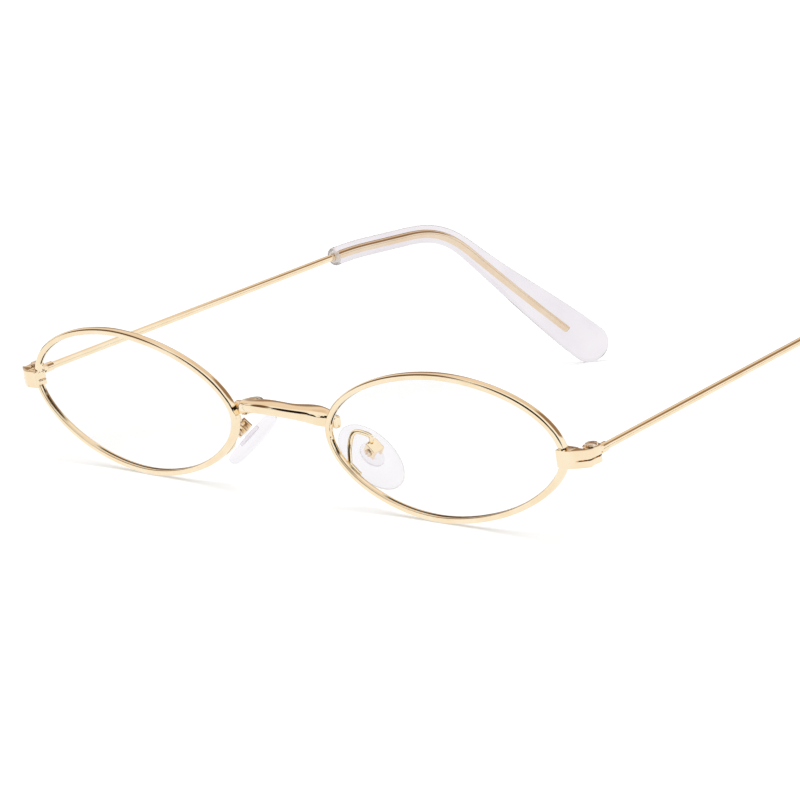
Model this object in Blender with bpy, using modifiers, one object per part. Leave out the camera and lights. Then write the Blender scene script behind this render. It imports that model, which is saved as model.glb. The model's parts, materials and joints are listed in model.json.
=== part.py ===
"""Oval wire eyeglasses with folding temples and adjustable nose pads.

The pieces are modelled in the frame of the front: X across the face, Y back towards
the ears, Z up, with the origin midway between the lens centres.  The left side of the
wearer lies at +X, and each right piece is its mirror image.  The empty named stance
then tips the whole object until the rims and the temple tips touch the table together.
"""
import math

import bmesh
import bpy
from mathutils import Matrix, Vector

MM = 0.001
DEG = math.pi / 180

# Making of the meshes
WELD_DISTANCE = 1e-7
SMOOTH_ANGLE = 35 * DEG
ROUND_SIDES = 16
EMPTY_SIZE = 5 * MM
TILT_HALVINGS = 40

# Lenses
LENS_WIDTH = 51.3 * MM
LENS_HEIGHT = 25.02 * MM
LENS_GAP = 22.9 * MM
LENS_THICKNESS = 1.4 * MM
LENS_CURVE_RADIUS = 303 * MM
LENS_WRAP = 1.83 * DEG
LENS_FIT = 0.05 * MM
OUTLINE_POWER = 1.862
OUTLINE_LEAN = 0.175
OUTLINE_DROOP = 0.0115
OUTLINE_SEGMENTS = 64
OUTLINE_STEP = 0.01
LENS_RINGS = (0.25, 0.6, 1.0)

# Rims
RIM_THICKNESS = 1.1 * MM
RIM_DEPTH = 1.5 * MM
RIM_EDGE = 0.22 * MM
GROOVE_DEPTH = 0.45 * MM
GROOVE_HALF_WIDTH = 0.45 * MM

# Soldered and fitted joints
SEAM = 0.04 * MM
RUNNING_FIT = 0.06 * MM

# Rim locks and end pieces
END_PIECE_HEIGHT = 3.4 * MM
END_PIECE_RISE = 0.7 * MM
PLATE_THICKNESS = 0.65 * MM
PLATE_OVERLAP = 0.55 * MM
PLATE_CORNER = 3.2 * MM
PLATE_CORNER_STEPS = 6
LOCK_LENGTH = 2.0 * MM
LOCK_DEPTH = 2.2 * MM
LOCK_GAP = 0.1 * MM
LOCK_SCREW_RADIUS = 0.5 * MM
LOCK_SCREW_HEAD_RADIUS = 0.75 * MM
LOCK_SCREW_HEAD_HEIGHT = 0.5 * MM
END_BLOCK_GAP = 0.15 * MM

# Temple hinges
KNUCKLE_RADIUS = 1.5 * MM
HINGE_REACH = 2.0 * MM
KNUCKLE_INSET = 0.1 * MM
HINGE_SCREW_RADIUS = 0.6 * MM
HINGE_SCREW_HEAD_RADIUS = 1.2 * MM
HINGE_SCREW_HEAD_HEIGHT = 0.5 * MM
SLOT_WIDTH = 0.3 * MM
SLOT_DEPTH = 0.25 * MM
HEAD_CHAMFER = 0.12 * MM
FERRULE_RADIUS = 0.95 * MM
FERRULE_LENGTH = 2.6 * MM
FERRULE_GAP = 0.15 * MM
SOCKET_WALL = 0.35 * MM
NECK_HALF_WIDTH = 0.85 * MM
NECK_RISE = 0.75 * MM

# Temples
WIRE_RADIUS = 0.65 * MM
TEMPLE_RISE = 0.99 * MM
TEMPLE_SPLAY = 3.5 * DEG
SLEEVE_START = 73.8 * MM
SLEEVE_DROOP = 6 * DEG
DROOP_LENGTH = 10 * MM
DROOP_STEPS = 3
EAR_BEND_START = 92.5 * MM
EAR_BEND_LENGTH = 19.5 * MM
EAR_ANGLE = 48 * DEG
EAR_BEND_STEPS = 10
CORE_TAIL = 27.2 * MM
TIP_TAIL = 37.6 * MM
TIP_TAIL_STEPS = 10
TIP_INWARD = 7 * MM
TIP_INWARD_SPAN = 40 * MM
SLEEVE_DIAMETER = 3.5 * MM
PADDLE_WIDTH = 7.8 * MM
PADDLE_THICKNESS = 2.4 * MM
PADDLE_LENGTH = 44 * MM
PADDLE_LIFT = 0.45 * MM
PADDLE_NOSE = 4.4 * MM
PADDLE_BLUNT = 0.35
SLEEVE_SIDES = 12

# Bridge
BRIDGE_RISE = 1.15 * MM
BRIDGE_ARCH = 2.5 * MM
BRIDGE_FORWARD = 4.0 * MM
BRIDGE_CROWN_POWER = 1.2
BRIDGE_DEPTH = 3.3 * MM
BRIDGE_HEIGHT = 2.05 * MM
BRIDGE_SWELL_RATE = 2.0
BRIDGE_FLARE = 1.8 * MM
BRIDGE_FLARE_HEIGHT = 1.1 * MM
BRIDGE_FLARE_DROP = 0.3 * MM
BRIDGE_FLARE_FROM_RIM = 3.3 * MM
BRIDGE_FLARE_SPREAD = 2.0 * MM
BRIDGE_FOOT_DEPTH = 1.5 * MM
BRIDGE_FOOT_LENGTH = 1.6 * MM
BRIDGE_STEPS = 24
BRIDGE_SIDES = 12

# Nose pads
PAD_LENGTH = 13.6 * MM
PAD_WIDTH = 8.4 * MM
PAD_THICKNESS = 2.5 * MM
PAD_EDGE = 0.7 * MM
PAD_STEPS = 24
PAD_OUT = 2.9 * MM
PAD_BACK = 6.5 * MM
PAD_DROP = 6.6 * MM
PAD_FRONTAL_ANGLE = 50 * DEG
PAD_SPLAY_ANGLE = 20 * DEG
PAD_PIVOT = 2.6 * MM
CORE_LENGTH = 5.0 * MM
CORE_WIDTH = 3.4 * MM
CORE_THICKNESS = 0.6 * MM
EYELET_RADIUS = 0.75 * MM
EYELET_WIDTH = 1.2 * MM
STEM_WIDTH = 0.9 * MM
BOX_WALL = 0.45 * MM
BOX_LENGTH = 2.4 * MM
PAD_SCREW_RADIUS = 0.4 * MM
PAD_SCREW_HEAD_RADIUS = 0.65 * MM
PAD_SCREW_HEAD_HEIGHT = 0.4 * MM
ARM_RADIUS = 0.42 * MM
ARM_FOOT_ANGLE = 219 * DEG
ARM_LEAVE_ANGLE = 210 * DEG
ARM_FOOT_STEPS = 3
ARM_CLIMB = (-0.5 * MM, 1.0 * MM, 2.8 * MM)
ARM_CREST = (-0.2 * MM, 2.2 * MM, 4.6 * MM)
ARM_DROP = 1.0 * MM
ARM_STEPS = 4

MIRROR = Matrix.Scale(-1, 4, (1, 0, 0))


def remove_scene_objects():
    """Start from an empty scene."""
    for item in list(bpy.data.objects):
        bpy.data.objects.remove(item, do_unlink=True)


def new_collection(name):
    """Add a collection under the scene."""
    collection = bpy.data.collections.new(name)
    bpy.context.scene.collection.children.link(collection)
    return collection


def new_material(name, color, metallic, roughness, transmission=0.0):
    """A Principled BSDF with one plain colour."""
    material = bpy.data.materials.new(name)
    material.use_nodes = True
    shader = material.node_tree.nodes["Principled BSDF"]
    shader.inputs["Base Color"].default_value = (*color, 1.0)
    shader.inputs["Metallic"].default_value = metallic
    shader.inputs["Roughness"].default_value = roughness
    shader.inputs["Transmission Weight"].default_value = transmission
    material.diffuse_color = (*color, 1.0)
    return material


# Mesh helpers


def mesh_from_bmesh(name, shape):
    """Write a bmesh to a mesh with its faces pointing out."""
    bmesh.ops.recalc_face_normals(shape, faces=shape.faces)
    mesh = bpy.data.meshes.new(name)
    shape.to_mesh(mesh)
    shape.free()
    return mesh


def evaluated_mesh(item):
    """The finished mesh of a helper object, welded, and the helper removed."""
    graph = bpy.context.evaluated_depsgraph_get()
    mesh = bpy.data.meshes.new_from_object(item.evaluated_get(graph))
    mesh.transform(item.matrix_world)
    bpy.data.objects.remove(item, do_unlink=True)
    shape = bmesh.new()
    shape.from_mesh(mesh)
    bmesh.ops.remove_doubles(shape, verts=shape.verts, dist=WELD_DISTANCE)
    return mesh_from_bmesh(mesh.name, shape)


def box_mesh(name, low, high):
    """A box between two corners."""
    low = Vector(low)
    high = Vector(high)
    shape = bmesh.new()
    bmesh.ops.create_cube(shape, size=1)
    bmesh.ops.scale(shape, verts=shape.verts, vec=high - low)
    bmesh.ops.translate(shape, verts=shape.verts, vec=(low + high) / 2)
    return mesh_from_bmesh(name, shape)


def rod_mesh(name, start, end, radius, sides=ROUND_SIDES):
    """A round rod whose corners lie at the given radius."""
    start = Vector(start)
    axis = Vector(end) - start
    shape = bmesh.new()
    bmesh.ops.create_cone(
        shape, cap_ends=True, segments=sides, radius1=radius, radius2=radius, depth=axis.length
    )
    turn = axis.to_track_quat("Z", "Y").to_matrix().to_4x4()
    bmesh.ops.transform(shape, verts=shape.verts, matrix=Matrix.Translation(start + axis / 2) @ turn)
    return mesh_from_bmesh(name, shape)


def bore_mesh(name, start, end, radius, sides=ROUND_SIDES):
    """A cutter whose flats clear a round of the given radius."""
    return rod_mesh(name, start, end, radius / math.cos(math.pi / sides), sides)


def turned_mesh(name, profile, sides=ROUND_SIDES):
    """A profile of radius and height, listed from the top down, turned about Z."""
    mesh = bpy.data.meshes.new(name)
    points = [(radius, 0, height) for radius, height in profile]
    mesh.from_pydata(points, [(i, i + 1) for i in range(len(points) - 1)], [])
    item = bpy.data.objects.new(name, mesh)
    guides.objects.link(item)
    screw = item.modifiers.new("Turn", "SCREW")
    screw.steps = sides
    screw.render_steps = sides
    screw.use_merge_vertices = True
    screw.merge_threshold = WELD_DISTANCE
    return evaluated_mesh(item)


def plate_mesh(name, points, bottom, top, edge=0.0):
    """A flat outline in X and Y, filled and extruded between two heights."""
    curve = bpy.data.curves.new(name, "CURVE")
    curve.dimensions = "2D"
    curve.fill_mode = "BOTH"
    curve.extrude = (top - bottom) / 2 - edge
    curve.bevel_depth = edge
    curve.offset = -edge
    curve.bevel_resolution = 1
    spline = curve.splines.new("POLY")
    spline.points.add(len(points) - 1)
    for control, point in zip(spline.points, points):
        control.co = (point[0], point[1], 0, 1)
    spline.use_cyclic_u = True
    item = bpy.data.objects.new(name, curve)
    guides.objects.link(item)
    item.location.z = (top + bottom) / 2
    bpy.context.view_layer.update()
    return evaluated_mesh(item)


def wire_mesh(name, points, radius):
    """A round wire along a list of points, with closed ends."""
    curve = bpy.data.curves.new(name, "CURVE")
    curve.dimensions = "3D"
    curve.bevel_depth = radius
    curve.bevel_resolution = 2
    curve.use_fill_caps = True
    spline = curve.splines.new("POLY")
    spline.points.add(len(points) - 1)
    for control, point in zip(spline.points, points):
        control.co = (*point, 1)
    item = bpy.data.objects.new(name, curve)
    guides.objects.link(item)
    return evaluated_mesh(item)


def loft_mesh(name, rings, cyclic=False):
    """A skin over rings of equally many points, closed by its ends or into a loop."""
    shape = bmesh.new()
    loops = [[shape.verts.new(point) for point in ring] for ring in rings]
    pairs = list(zip(loops, loops[1:]))
    if cyclic:
        pairs.append((loops[-1], loops[0]))
    else:
        shape.faces.new(loops[0])
        shape.faces.new(loops[-1])
    for first, second in pairs:
        for i in range(len(first)):
            shape.faces.new((first[i - 1], first[i], second[i], second[i - 1]))
    return mesh_from_bmesh(name, shape)


def combined(mesh, tools):
    """Apply Boolean operations, each given as an operation and a tool mesh."""
    item = bpy.data.objects.new(mesh.name, mesh)
    cutters.objects.link(item)
    helpers = []
    for number, (operation, tool) in enumerate(tools):
        cutter = bpy.data.objects.new(f"{mesh.name}_tool_{number}", tool)
        cutter.hide_render = True
        cutter.display_type = "WIRE"
        cutters.objects.link(cutter)
        helpers.append(cutter)
        boolean = item.modifiers.new(operation, "BOOLEAN")
        boolean.operation = operation
        boolean.object = cutter
    bpy.context.view_layer.update()
    result = evaluated_mesh(item)
    for cutter in helpers:
        bpy.data.objects.remove(cutter, do_unlink=True)
    return result


def smooth(mesh):
    """Shade a mesh smooth except at its corners."""
    mesh.shade_smooth()
    mesh.set_sharp_from_angle(angle=SMOOTH_ANGLE)
    return mesh


def mirrored_mesh(mesh):
    """A copy of a mesh reflected to the other side of the face."""
    shape = bmesh.new()
    shape.from_mesh(mesh)
    bmesh.ops.transform(shape, verts=shape.verts, matrix=MIRROR)
    bmesh.ops.reverse_faces(shape, faces=shape.faces)
    copy = bpy.data.meshes.new(mesh.name)
    shape.to_mesh(copy)
    shape.free()
    return copy


def add_empty(name, parent, matrix):
    """An empty that carries the pieces of one group."""
    item = bpy.data.objects.new(name, None)
    item.empty_display_size = EMPTY_SIZE
    parts.objects.link(item)
    item.parent = parent
    item.matrix_basis = matrix
    return item


def add_piece(name, mesh, material, parent):
    """One finished piece, placed by its parent."""
    item = bpy.data.objects.new(name, smooth(mesh))
    item.data.materials.clear()
    item.data.materials.append(material)
    parts.objects.link(item)
    item.parent = parent
    return item


def add_pair(name, mesh, material, carriers):
    """A left piece and its mirror image, each under its own carrier."""
    left, right = carriers
    reflected = mirrored_mesh(mesh)
    add_piece(f"left_{name}", mesh, material, left)
    add_piece(f"right_{name}", reflected, material, right)


def add_carriers(name, parent, matrix):
    """A left empty and its mirror image."""
    left = add_empty(f"left_{name}", parent, matrix)
    right = add_empty(f"right_{name}", parent, MIRROR @ matrix @ MIRROR)
    return left, right


# Shape of the lens outline

LENS_CENTRE = (LENS_GAP + LENS_WIDTH) / 2
RIM_OFFSET = LENS_FIT + RIM_THICKNESS / 2 - GROOVE_DEPTH


def bare_outline(angle):
    """The lens edge in its own plane: outwards and up from its centre."""
    across = math.cos(angle)
    up = math.sin(angle)
    swell = 1 + OUTLINE_DROOP * math.sin(3 * angle)
    x = LENS_WIDTH / 2 * swell * math.copysign(abs(across) ** (2 / OUTLINE_POWER), across)
    z = LENS_HEIGHT / 2 * swell * math.copysign(abs(up) ** (2 / OUTLINE_POWER), up)
    return Vector((x + OUTLINE_LEAN * z, z))


def outline(angle, offset):
    """The lens edge moved out along its normal."""
    chord = bare_outline(angle + OUTLINE_STEP) - bare_outline(angle - OUTLINE_STEP)
    tangent = chord.normalized()
    return bare_outline(angle) + offset * Vector((tangent.y, -tangent.x))


def in_front(point, depth):
    """Place a point of the lens plane in the frame of the front."""
    x, z = point
    y = (x * x + z * z) / (2 * LENS_CURVE_RADIUS) + depth
    across = LENS_CENTRE + x * math.cos(LENS_WRAP) - y * math.sin(LENS_WRAP)
    back = x * math.sin(LENS_WRAP) + y * math.cos(LENS_WRAP)
    return Vector((across, back, z))


def outline_ring(offset, depth, scale=1.0):
    """One closed ring of points round the lens."""
    angles = [2 * math.pi * i / OUTLINE_SEGMENTS for i in range(OUTLINE_SEGMENTS)]
    return [in_front(scale * outline(angle, offset), depth) for angle in angles]


def rim_loop():
    """The full loop of the rim before it is opened for its lock."""
    inner = RIM_OFFSET - RIM_THICKNESS / 2
    outer = RIM_OFFSET + RIM_THICKNESS / 2
    half = RIM_DEPTH / 2
    section = [
        (inner, -GROOVE_HALF_WIDTH),
        (inner, -half + RIM_EDGE),
        (inner + RIM_EDGE, -half),
        (outer - RIM_EDGE, -half),
        (outer, -half + RIM_EDGE),
        (outer, half - RIM_EDGE),
        (outer - RIM_EDGE, half),
        (inner + RIM_EDGE, half),
        (inner, half - RIM_EDGE),
        (inner, GROOVE_HALF_WIDTH),
        (inner + GROOVE_DEPTH, 0),
    ]
    return loft_mesh("rim", [outline_ring(*corner) for corner in section], cyclic=True)


def lens_solid():
    """A plano lens whose edge bevel sits in the groove of the rim."""
    half = LENS_THICKNESS / 2
    shoulder = -GROOVE_DEPTH
    front = [outline_ring(shoulder, -half, scale) for scale in LENS_RINGS]
    bevel = [
        outline_ring(shoulder, -GROOVE_HALF_WIDTH),
        outline_ring(0, 0),
        outline_ring(shoulder, GROOVE_HALF_WIDTH),
    ]
    back = [outline_ring(shoulder, half, scale) for scale in reversed(LENS_RINGS)]
    return loft_mesh("lens", front + bevel + back)


# Places of the hinge and of the end piece

RIM_END = max(outline_ring(RIM_OFFSET, 0), key=lambda point: point.x)
END_TOP = END_PIECE_RISE + END_PIECE_HEIGHT / 2
END_BOTTOM = END_PIECE_RISE - END_PIECE_HEIGHT / 2
LOCK_INNER = RIM_END.x - RIM_THICKNESS / 2 + GROOVE_DEPTH
LOCK_OUTER = LOCK_INNER + LOCK_LENGTH
LOCK_FRONT = RIM_END.y - RIM_DEPTH / 2
LOCK_BACK = LOCK_FRONT + LOCK_DEPTH
LOCK_TOP = END_TOP - KNUCKLE_INSET
LOCK_BOTTOM = END_BOTTOM + KNUCKLE_INSET
LOCK_AXIS = Vector(((LOCK_INNER + LOCK_OUTER) / 2, (LOCK_FRONT + LOCK_BACK) / 2, 0))
PLATE_BACK = LOCK_FRONT - SEAM
PLATE_FRONT = PLATE_BACK - PLATE_THICKNESS
PLATE_INNER = LOCK_INNER - PLATE_OVERLAP
BLOCK_INNER = LOCK_OUTER + END_BLOCK_GAP
HINGE = Vector((BLOCK_INNER + KNUCKLE_RADIUS - KNUCKLE_INSET, 0, 0))
HINGE.y = LOCK_BACK - END_BLOCK_GAP + KNUCKLE_RADIUS
BLOCK_OUTER = HINGE.x + KNUCKLE_RADIUS
BLOCK_BACK = HINGE.y - HINGE_REACH
PARTING = END_PIECE_RISE


def opened_rim():
    """The rim with the space for its two lock halves cut out of its outer end."""
    margin = RIM_THICKNESS
    gap = box_mesh(
        "lock_gap",
        (LOCK_INNER - margin, LOCK_FRONT - margin, LOCK_BOTTOM - SEAM),
        (LOCK_OUTER + margin, LOCK_BACK + margin, LOCK_TOP + SEAM),
    )
    return combined(rim_loop(), [("DIFFERENCE", gap)])


def lock_half(name, bottom, top, bores):
    """One half of the rim lock, a block with the screw's bores through it."""
    block = box_mesh(name, (LOCK_INNER, LOCK_FRONT, bottom), (LOCK_OUTER, LOCK_BACK, top))
    cuts = []
    for radius, low, high in bores:
        start = LOCK_AXIS + Vector((0, 0, low))
        end = LOCK_AXIS + Vector((0, 0, high))
        cuts.append(("DIFFERENCE", bore_mesh("lock_bore", start, end, radius + RUNNING_FIT)))
    return combined(block, cuts)


def slotted_screw(name, head_radius, head_height, shank_radius, length):
    """A screw with its head's underside at the origin and its shank down -Z."""
    profile = [
        (0, head_height),
        (head_radius - HEAD_CHAMFER, head_height),
        (head_radius, head_height - HEAD_CHAMFER),
        (head_radius, 0),
        (shank_radius, 0),
        (shank_radius, -length),
        (0, -length),
    ]
    slot = box_mesh(
        "slot",
        (-2 * head_radius, -SLOT_WIDTH / 2, head_height - SLOT_DEPTH),
        (2 * head_radius, SLOT_WIDTH / 2, 2 * head_height),
    )
    return combined(turned_mesh(name, profile), [("DIFFERENCE", slot)])


def add_rim_pieces(carriers, gold, steel, glass):
    """Rims, lenses and the locks that close the rims round the lenses."""
    add_pair("rim", opened_rim(), gold, carriers)
    add_pair("lens", lens_solid(), glass, carriers)
    reach = END_PIECE_HEIGHT
    middle = PARTING
    shank = LOCK_SCREW_RADIUS
    upper = lock_half("lock", middle + LOCK_GAP / 2, LOCK_TOP, [(shank, -reach, reach)])
    add_pair("upper_rim_lock", upper, gold, carriers)
    seat = LOCK_BOTTOM + LOCK_SCREW_HEAD_HEIGHT + SEAM
    bores = [(shank, -reach, reach), (LOCK_SCREW_HEAD_RADIUS, -reach, seat)]
    lower = lock_half("lock", LOCK_BOTTOM, middle - LOCK_GAP / 2, bores)
    add_pair("lower_rim_lock", lower, gold, carriers)
    screw = slotted_screw(
        "lock_screw",
        LOCK_SCREW_HEAD_RADIUS,
        LOCK_SCREW_HEAD_HEIGHT,
        shank,
        LOCK_TOP - seat,
    )
    turn = Matrix.Rotation(math.pi, 4, "X")
    screw.transform(Matrix.Translation(LOCK_AXIS + Vector((0, 0, seat - SEAM))) @ turn)
    add_pair("rim_lock_screw", screw, steel, carriers)


def end_piece():
    """The plate in front of the lock, bent back into a block beside the hinge."""
    depth = BLOCK_BACK - PLATE_FRONT
    points = [(PLATE_INNER, PLATE_FRONT)]
    for i in range(PLATE_CORNER_STEPS + 1):
        angle = math.pi / 2 * i / PLATE_CORNER_STEPS
        across = BLOCK_OUTER - PLATE_CORNER * (1 - math.sin(angle))
        points.append((across, BLOCK_BACK - depth * math.cos(angle)))
    points += [
        (BLOCK_INNER, BLOCK_BACK),
        (BLOCK_INNER, PLATE_BACK),
        (PLATE_INNER, PLATE_BACK),
    ]
    return plate_mesh("end_piece", points, END_BOTTOM, END_TOP)


def knuckle_arc(start, end, steps):
    """Points round the hinge axis between two angles."""
    points = []
    for i in range(steps + 1):
        angle = start + (end - start) * i / steps
        points.append(KNUCKLE_RADIUS * Vector((math.cos(angle), math.sin(angle))))
    return points


def hinge_bore(radius):
    """A cutter along the hinge axis."""
    reach = 2 * END_PIECE_HEIGHT
    return bore_mesh("hinge_bore", (0, 0, -reach), (0, 0, reach), radius + RUNNING_FIT)


def front_hinge():
    """The lower knuckle with its root soldered to the end piece."""
    root = -HINGE_REACH + SEAM
    half = KNUCKLE_RADIUS - KNUCKLE_INSET
    points = [(-half, root), (half, root)] + knuckle_arc(0, math.pi, ROUND_SIDES // 2)
    bottom = END_BOTTOM + KNUCKLE_INSET
    plate = plate_mesh("front_hinge", points, bottom, PARTING - RUNNING_FIT / 2)
    return combined(plate, [("DIFFERENCE", hinge_bore(HINGE_SCREW_RADIUS))])


def temple_hinge():
    """The upper knuckle: a square toe stops the temple, a ferrule holds its wire."""
    toe = -HINGE_REACH + RUNNING_FIT
    half = KNUCKLE_RADIUS - KNUCKLE_INSET
    arc = knuckle_arc(0, math.pi * 3 / 2, ROUND_SIDES * 3 // 4)
    points = [(0, toe), (half, toe)] + arc
    bottom = PARTING + RUNNING_FIT / 2
    top = END_TOP - KNUCKLE_INSET
    plate = plate_mesh("temple_hinge", points, bottom, top)
    start = KNUCKLE_RADIUS + FERRULE_GAP
    along = Vector((-math.sin(TEMPLE_SPLAY), math.cos(TEMPLE_SPLAY), 0))
    rise = Vector((0, 0, TEMPLE_RISE))
    ferrule = rod_mesh(
        "ferrule", rise + along * start, rise + along * (start + FERRULE_LENGTH), FERRULE_RADIUS
    )
    neck = box_mesh(
        "neck",
        (-NECK_HALF_WIDTH, KNUCKLE_RADIUS / 2, bottom),
        (NECK_HALF_WIDTH, start + SOCKET_WALL / 2, TEMPLE_RISE + NECK_RISE),
    )
    neck.transform(Matrix.Rotation(TEMPLE_SPLAY, 4, "Z"))
    socket = bore_mesh(
        "socket",
        rise + along * (start + SOCKET_WALL),
        rise + along * (start + 2 * FERRULE_LENGTH),
        WIRE_RADIUS + SEAM,
    )
    tools = [
        ("UNION", neck),
        ("UNION", ferrule),
        ("DIFFERENCE", socket),
        ("DIFFERENCE", hinge_bore(HINGE_SCREW_RADIUS)),
    ]
    return combined(plate, tools)


def hinge_screw():
    """The screw that drops through both knuckles from above."""
    seat = END_TOP - KNUCKLE_INSET + SEAM
    screw = slotted_screw(
        "hinge_screw",
        HINGE_SCREW_HEAD_RADIUS,
        HINGE_SCREW_HEAD_HEIGHT,
        HINGE_SCREW_RADIUS,
        seat - END_BOTTOM - KNUCKLE_INSET,
    )
    screw.transform(Matrix.Translation((0, 0, seat)))
    return screw


# Temple path, in the frame of its hinge


def eased(share):
    """A smooth step from nought to one."""
    share = min(max(share, 0), 1)
    return share * share * (3 - 2 * share)


def temple_slope(mark):
    """Slope of the temple: level, then drooping in the sleeve, then down behind the ear."""
    droop = SLEEVE_DROOP * eased((mark - SLEEVE_START) / DROOP_LENGTH)
    return droop + (EAR_ANGLE - SLEEVE_DROOP) * eased((mark - EAR_BEND_START) / EAR_BEND_LENGTH)


def temple_path(tail):
    """Centre line of the temple as (distance from the hinge, point) from ferrule to end."""
    start = KNUCKLE_RADIUS + FERRULE_GAP + SOCKET_WALL + SEAM
    marks = [start]
    stages = (
        (SLEEVE_START, DROOP_LENGTH, DROOP_STEPS),
        (EAR_BEND_START, EAR_BEND_LENGTH, EAR_BEND_STEPS),
        (EAR_BEND_START + EAR_BEND_LENGTH, tail, TIP_TAIL_STEPS),
    )
    for begin, length, steps in stages:
        marks += [begin + length * i / steps for i in range(steps + 1)]
    marks = sorted(set(marks))
    path = []
    along = start
    height = TEMPLE_RISE
    last = start
    for mark in marks:
        slope = temple_slope((mark + last) / 2)
        along += (mark - last) * math.cos(slope)
        height -= (mark - last) * math.sin(slope)
        last = mark
        inward = TIP_INWARD * (max(along - EAR_BEND_START, 0) / TIP_INWARD_SPAN) ** 2
        side = -math.sin(TEMPLE_SPLAY) * along - math.cos(TEMPLE_SPLAY) * inward
        back = math.cos(TEMPLE_SPLAY) * along - math.sin(TEMPLE_SPLAY) * inward
        path.append((mark, Vector((side, back, height))))
    return path


def path_tangent(path, index):
    """Mean direction of the path at one of its points."""
    before = path[max(index - 1, 0)][1]
    after = path[min(index + 1, len(path) - 1)][1]
    return (after - before).normalized()


def upright(tangent):
    """The direction square to a path that points up the most."""
    up = Vector((0, 0, 1))
    return (up - tangent * up.dot(tangent)).normalized()


def oval_ring(centre, tangent, half_width, half_thickness, sides):
    """An oval ring square to a path, with its width upright and its thickness level."""
    along_width = half_width * upright(tangent)
    along_thickness = half_thickness * tangent.cross(upright(tangent))
    ring = []
    for i in range(sides):
        angle = 2 * math.pi * i / sides
        ring.append(centre + along_thickness * math.cos(angle) + along_width * math.sin(angle))
    return ring


def temple_wire():
    """The temple's round wire, which runs on inside the sleeve as its core."""
    path = temple_path(CORE_TAIL)
    return wire_mesh("temple_wire", [point for _, point in path], WIRE_RADIUS)


def sleeve_sizes(mark, end):
    """Half width, half thickness and lift of the sleeve at a distance along the temple."""
    round_half = SLEEVE_DIAMETER / 2
    blend = eased((mark - (end - PADDLE_LENGTH)) / (PADDLE_LENGTH - PADDLE_NOSE))
    width = round_half + (PADDLE_WIDTH / 2 - round_half) * blend
    thickness = round_half + (PADDLE_THICKNESS / 2 - round_half) * blend
    nose = max(mark - (end - PADDLE_NOSE), 0) / PADDLE_NOSE
    rounding = math.sqrt(max(1 - nose * nose, PADDLE_BLUNT ** 2))
    return width * rounding, thickness * rounding, PADDLE_LIFT * blend


def temple_tip():
    """The clear sleeve: a mouth for the wire, a bend over the ear and a flat paddle."""
    outer = [step for step in temple_path(TIP_TAIL) if step[0] >= SLEEVE_START]
    inner = [step for step in temple_path(CORE_TAIL) if step[0] >= SLEEVE_START]
    end = outer[-1][0]
    bore = (WIRE_RADIUS + RUNNING_FIT) / math.cos(math.pi / SLEEVE_SIDES)
    deepest = path_tangent(inner, len(inner) - 1)
    bottom = inner[-1][1] + deepest * SEAM
    rings = [oval_ring(bottom, deepest, bore, bore, SLEEVE_SIDES)]
    for index in reversed(range(len(inner) - 1)):
        tangent = path_tangent(inner, index)
        rings.append(oval_ring(inner[index][1], tangent, bore, bore, SLEEVE_SIDES))
    for index, (mark, point) in enumerate(outer):
        half_width, half_thickness, lift = sleeve_sizes(mark, end)
        tangent = path_tangent(outer, index)
        centre = point + lift * upright(tangent)
        rings.append(oval_ring(centre, tangent, half_width, half_thickness, SLEEVE_SIDES))
    return loft_mesh("temple_tip", rings)


def add_temple_pieces(carriers, front_carriers, gold, steel, clear):
    """Hinges, screws, wires and tips of both temples."""
    place = Matrix.Translation(HINGE)
    lower = front_hinge()
    lower.transform(place)
    add_pair("front_hinge", lower, gold, front_carriers)
    screw = hinge_screw()
    screw.transform(place)
    add_pair("hinge_screw", screw, steel, front_carriers)
    add_pair("temple_hinge", temple_hinge(), gold, carriers)
    add_pair("temple_wire", temple_wire(), gold, carriers)
    add_pair("temple_tip", temple_tip(), clear, carriers)


# Bridge

NASAL_RIM = in_front(outline(math.pi, RIM_OFFSET), 0)


def bridge():
    """A saddle bar that arches up and forward, flared towards feet soldered on the rims."""
    span = NASAL_RIM.x - RIM_THICKNESS / 2
    foot = span + BRIDGE_FOOT_LENGTH
    foot_back = NASAL_RIM.y + RIM_DEPTH / 2 + SEAM + BRIDGE_FOOT_DEPTH / 2
    path = []
    sizes = []
    for i in range(BRIDGE_STEPS + 1):
        across = foot * (2 * i / BRIDGE_STEPS - 1)
        crown = max(1 - (across / span) ** 2, 0) ** BRIDGE_CROWN_POWER
        from_flare = (abs(across) - span + BRIDGE_FLARE_FROM_RIM) / BRIDGE_FLARE_SPREAD
        flare = math.exp(-from_flare * from_flare)
        back = foot_back - BRIDGE_FORWARD * crown + BRIDGE_FLARE / 2 * flare
        up = BRIDGE_RISE + BRIDGE_ARCH * crown - BRIDGE_FLARE_DROP * flare
        path.append((across, Vector((across, back, up))))
        swell = min(BRIDGE_SWELL_RATE * crown, 1)
        depth = BRIDGE_FOOT_DEPTH + (BRIDGE_DEPTH - BRIDGE_FOOT_DEPTH) * swell
        depth += BRIDGE_FLARE * flare
        sizes.append((BRIDGE_HEIGHT + BRIDGE_FLARE_HEIGHT * flare, depth))
    rings = []
    for index, (height, depth) in enumerate(sizes):
        tangent = path_tangent(path, index)
        rings.append(oval_ring(path[index][1], tangent, height / 2, depth / 2, BRIDGE_SIDES))
    return loft_mesh("bridge", rings)


# Nose pads

PAD_CENTRE = NASAL_RIM + Vector((PAD_OUT, PAD_BACK - NASAL_RIM.y, -PAD_DROP - NASAL_RIM.z))


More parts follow.
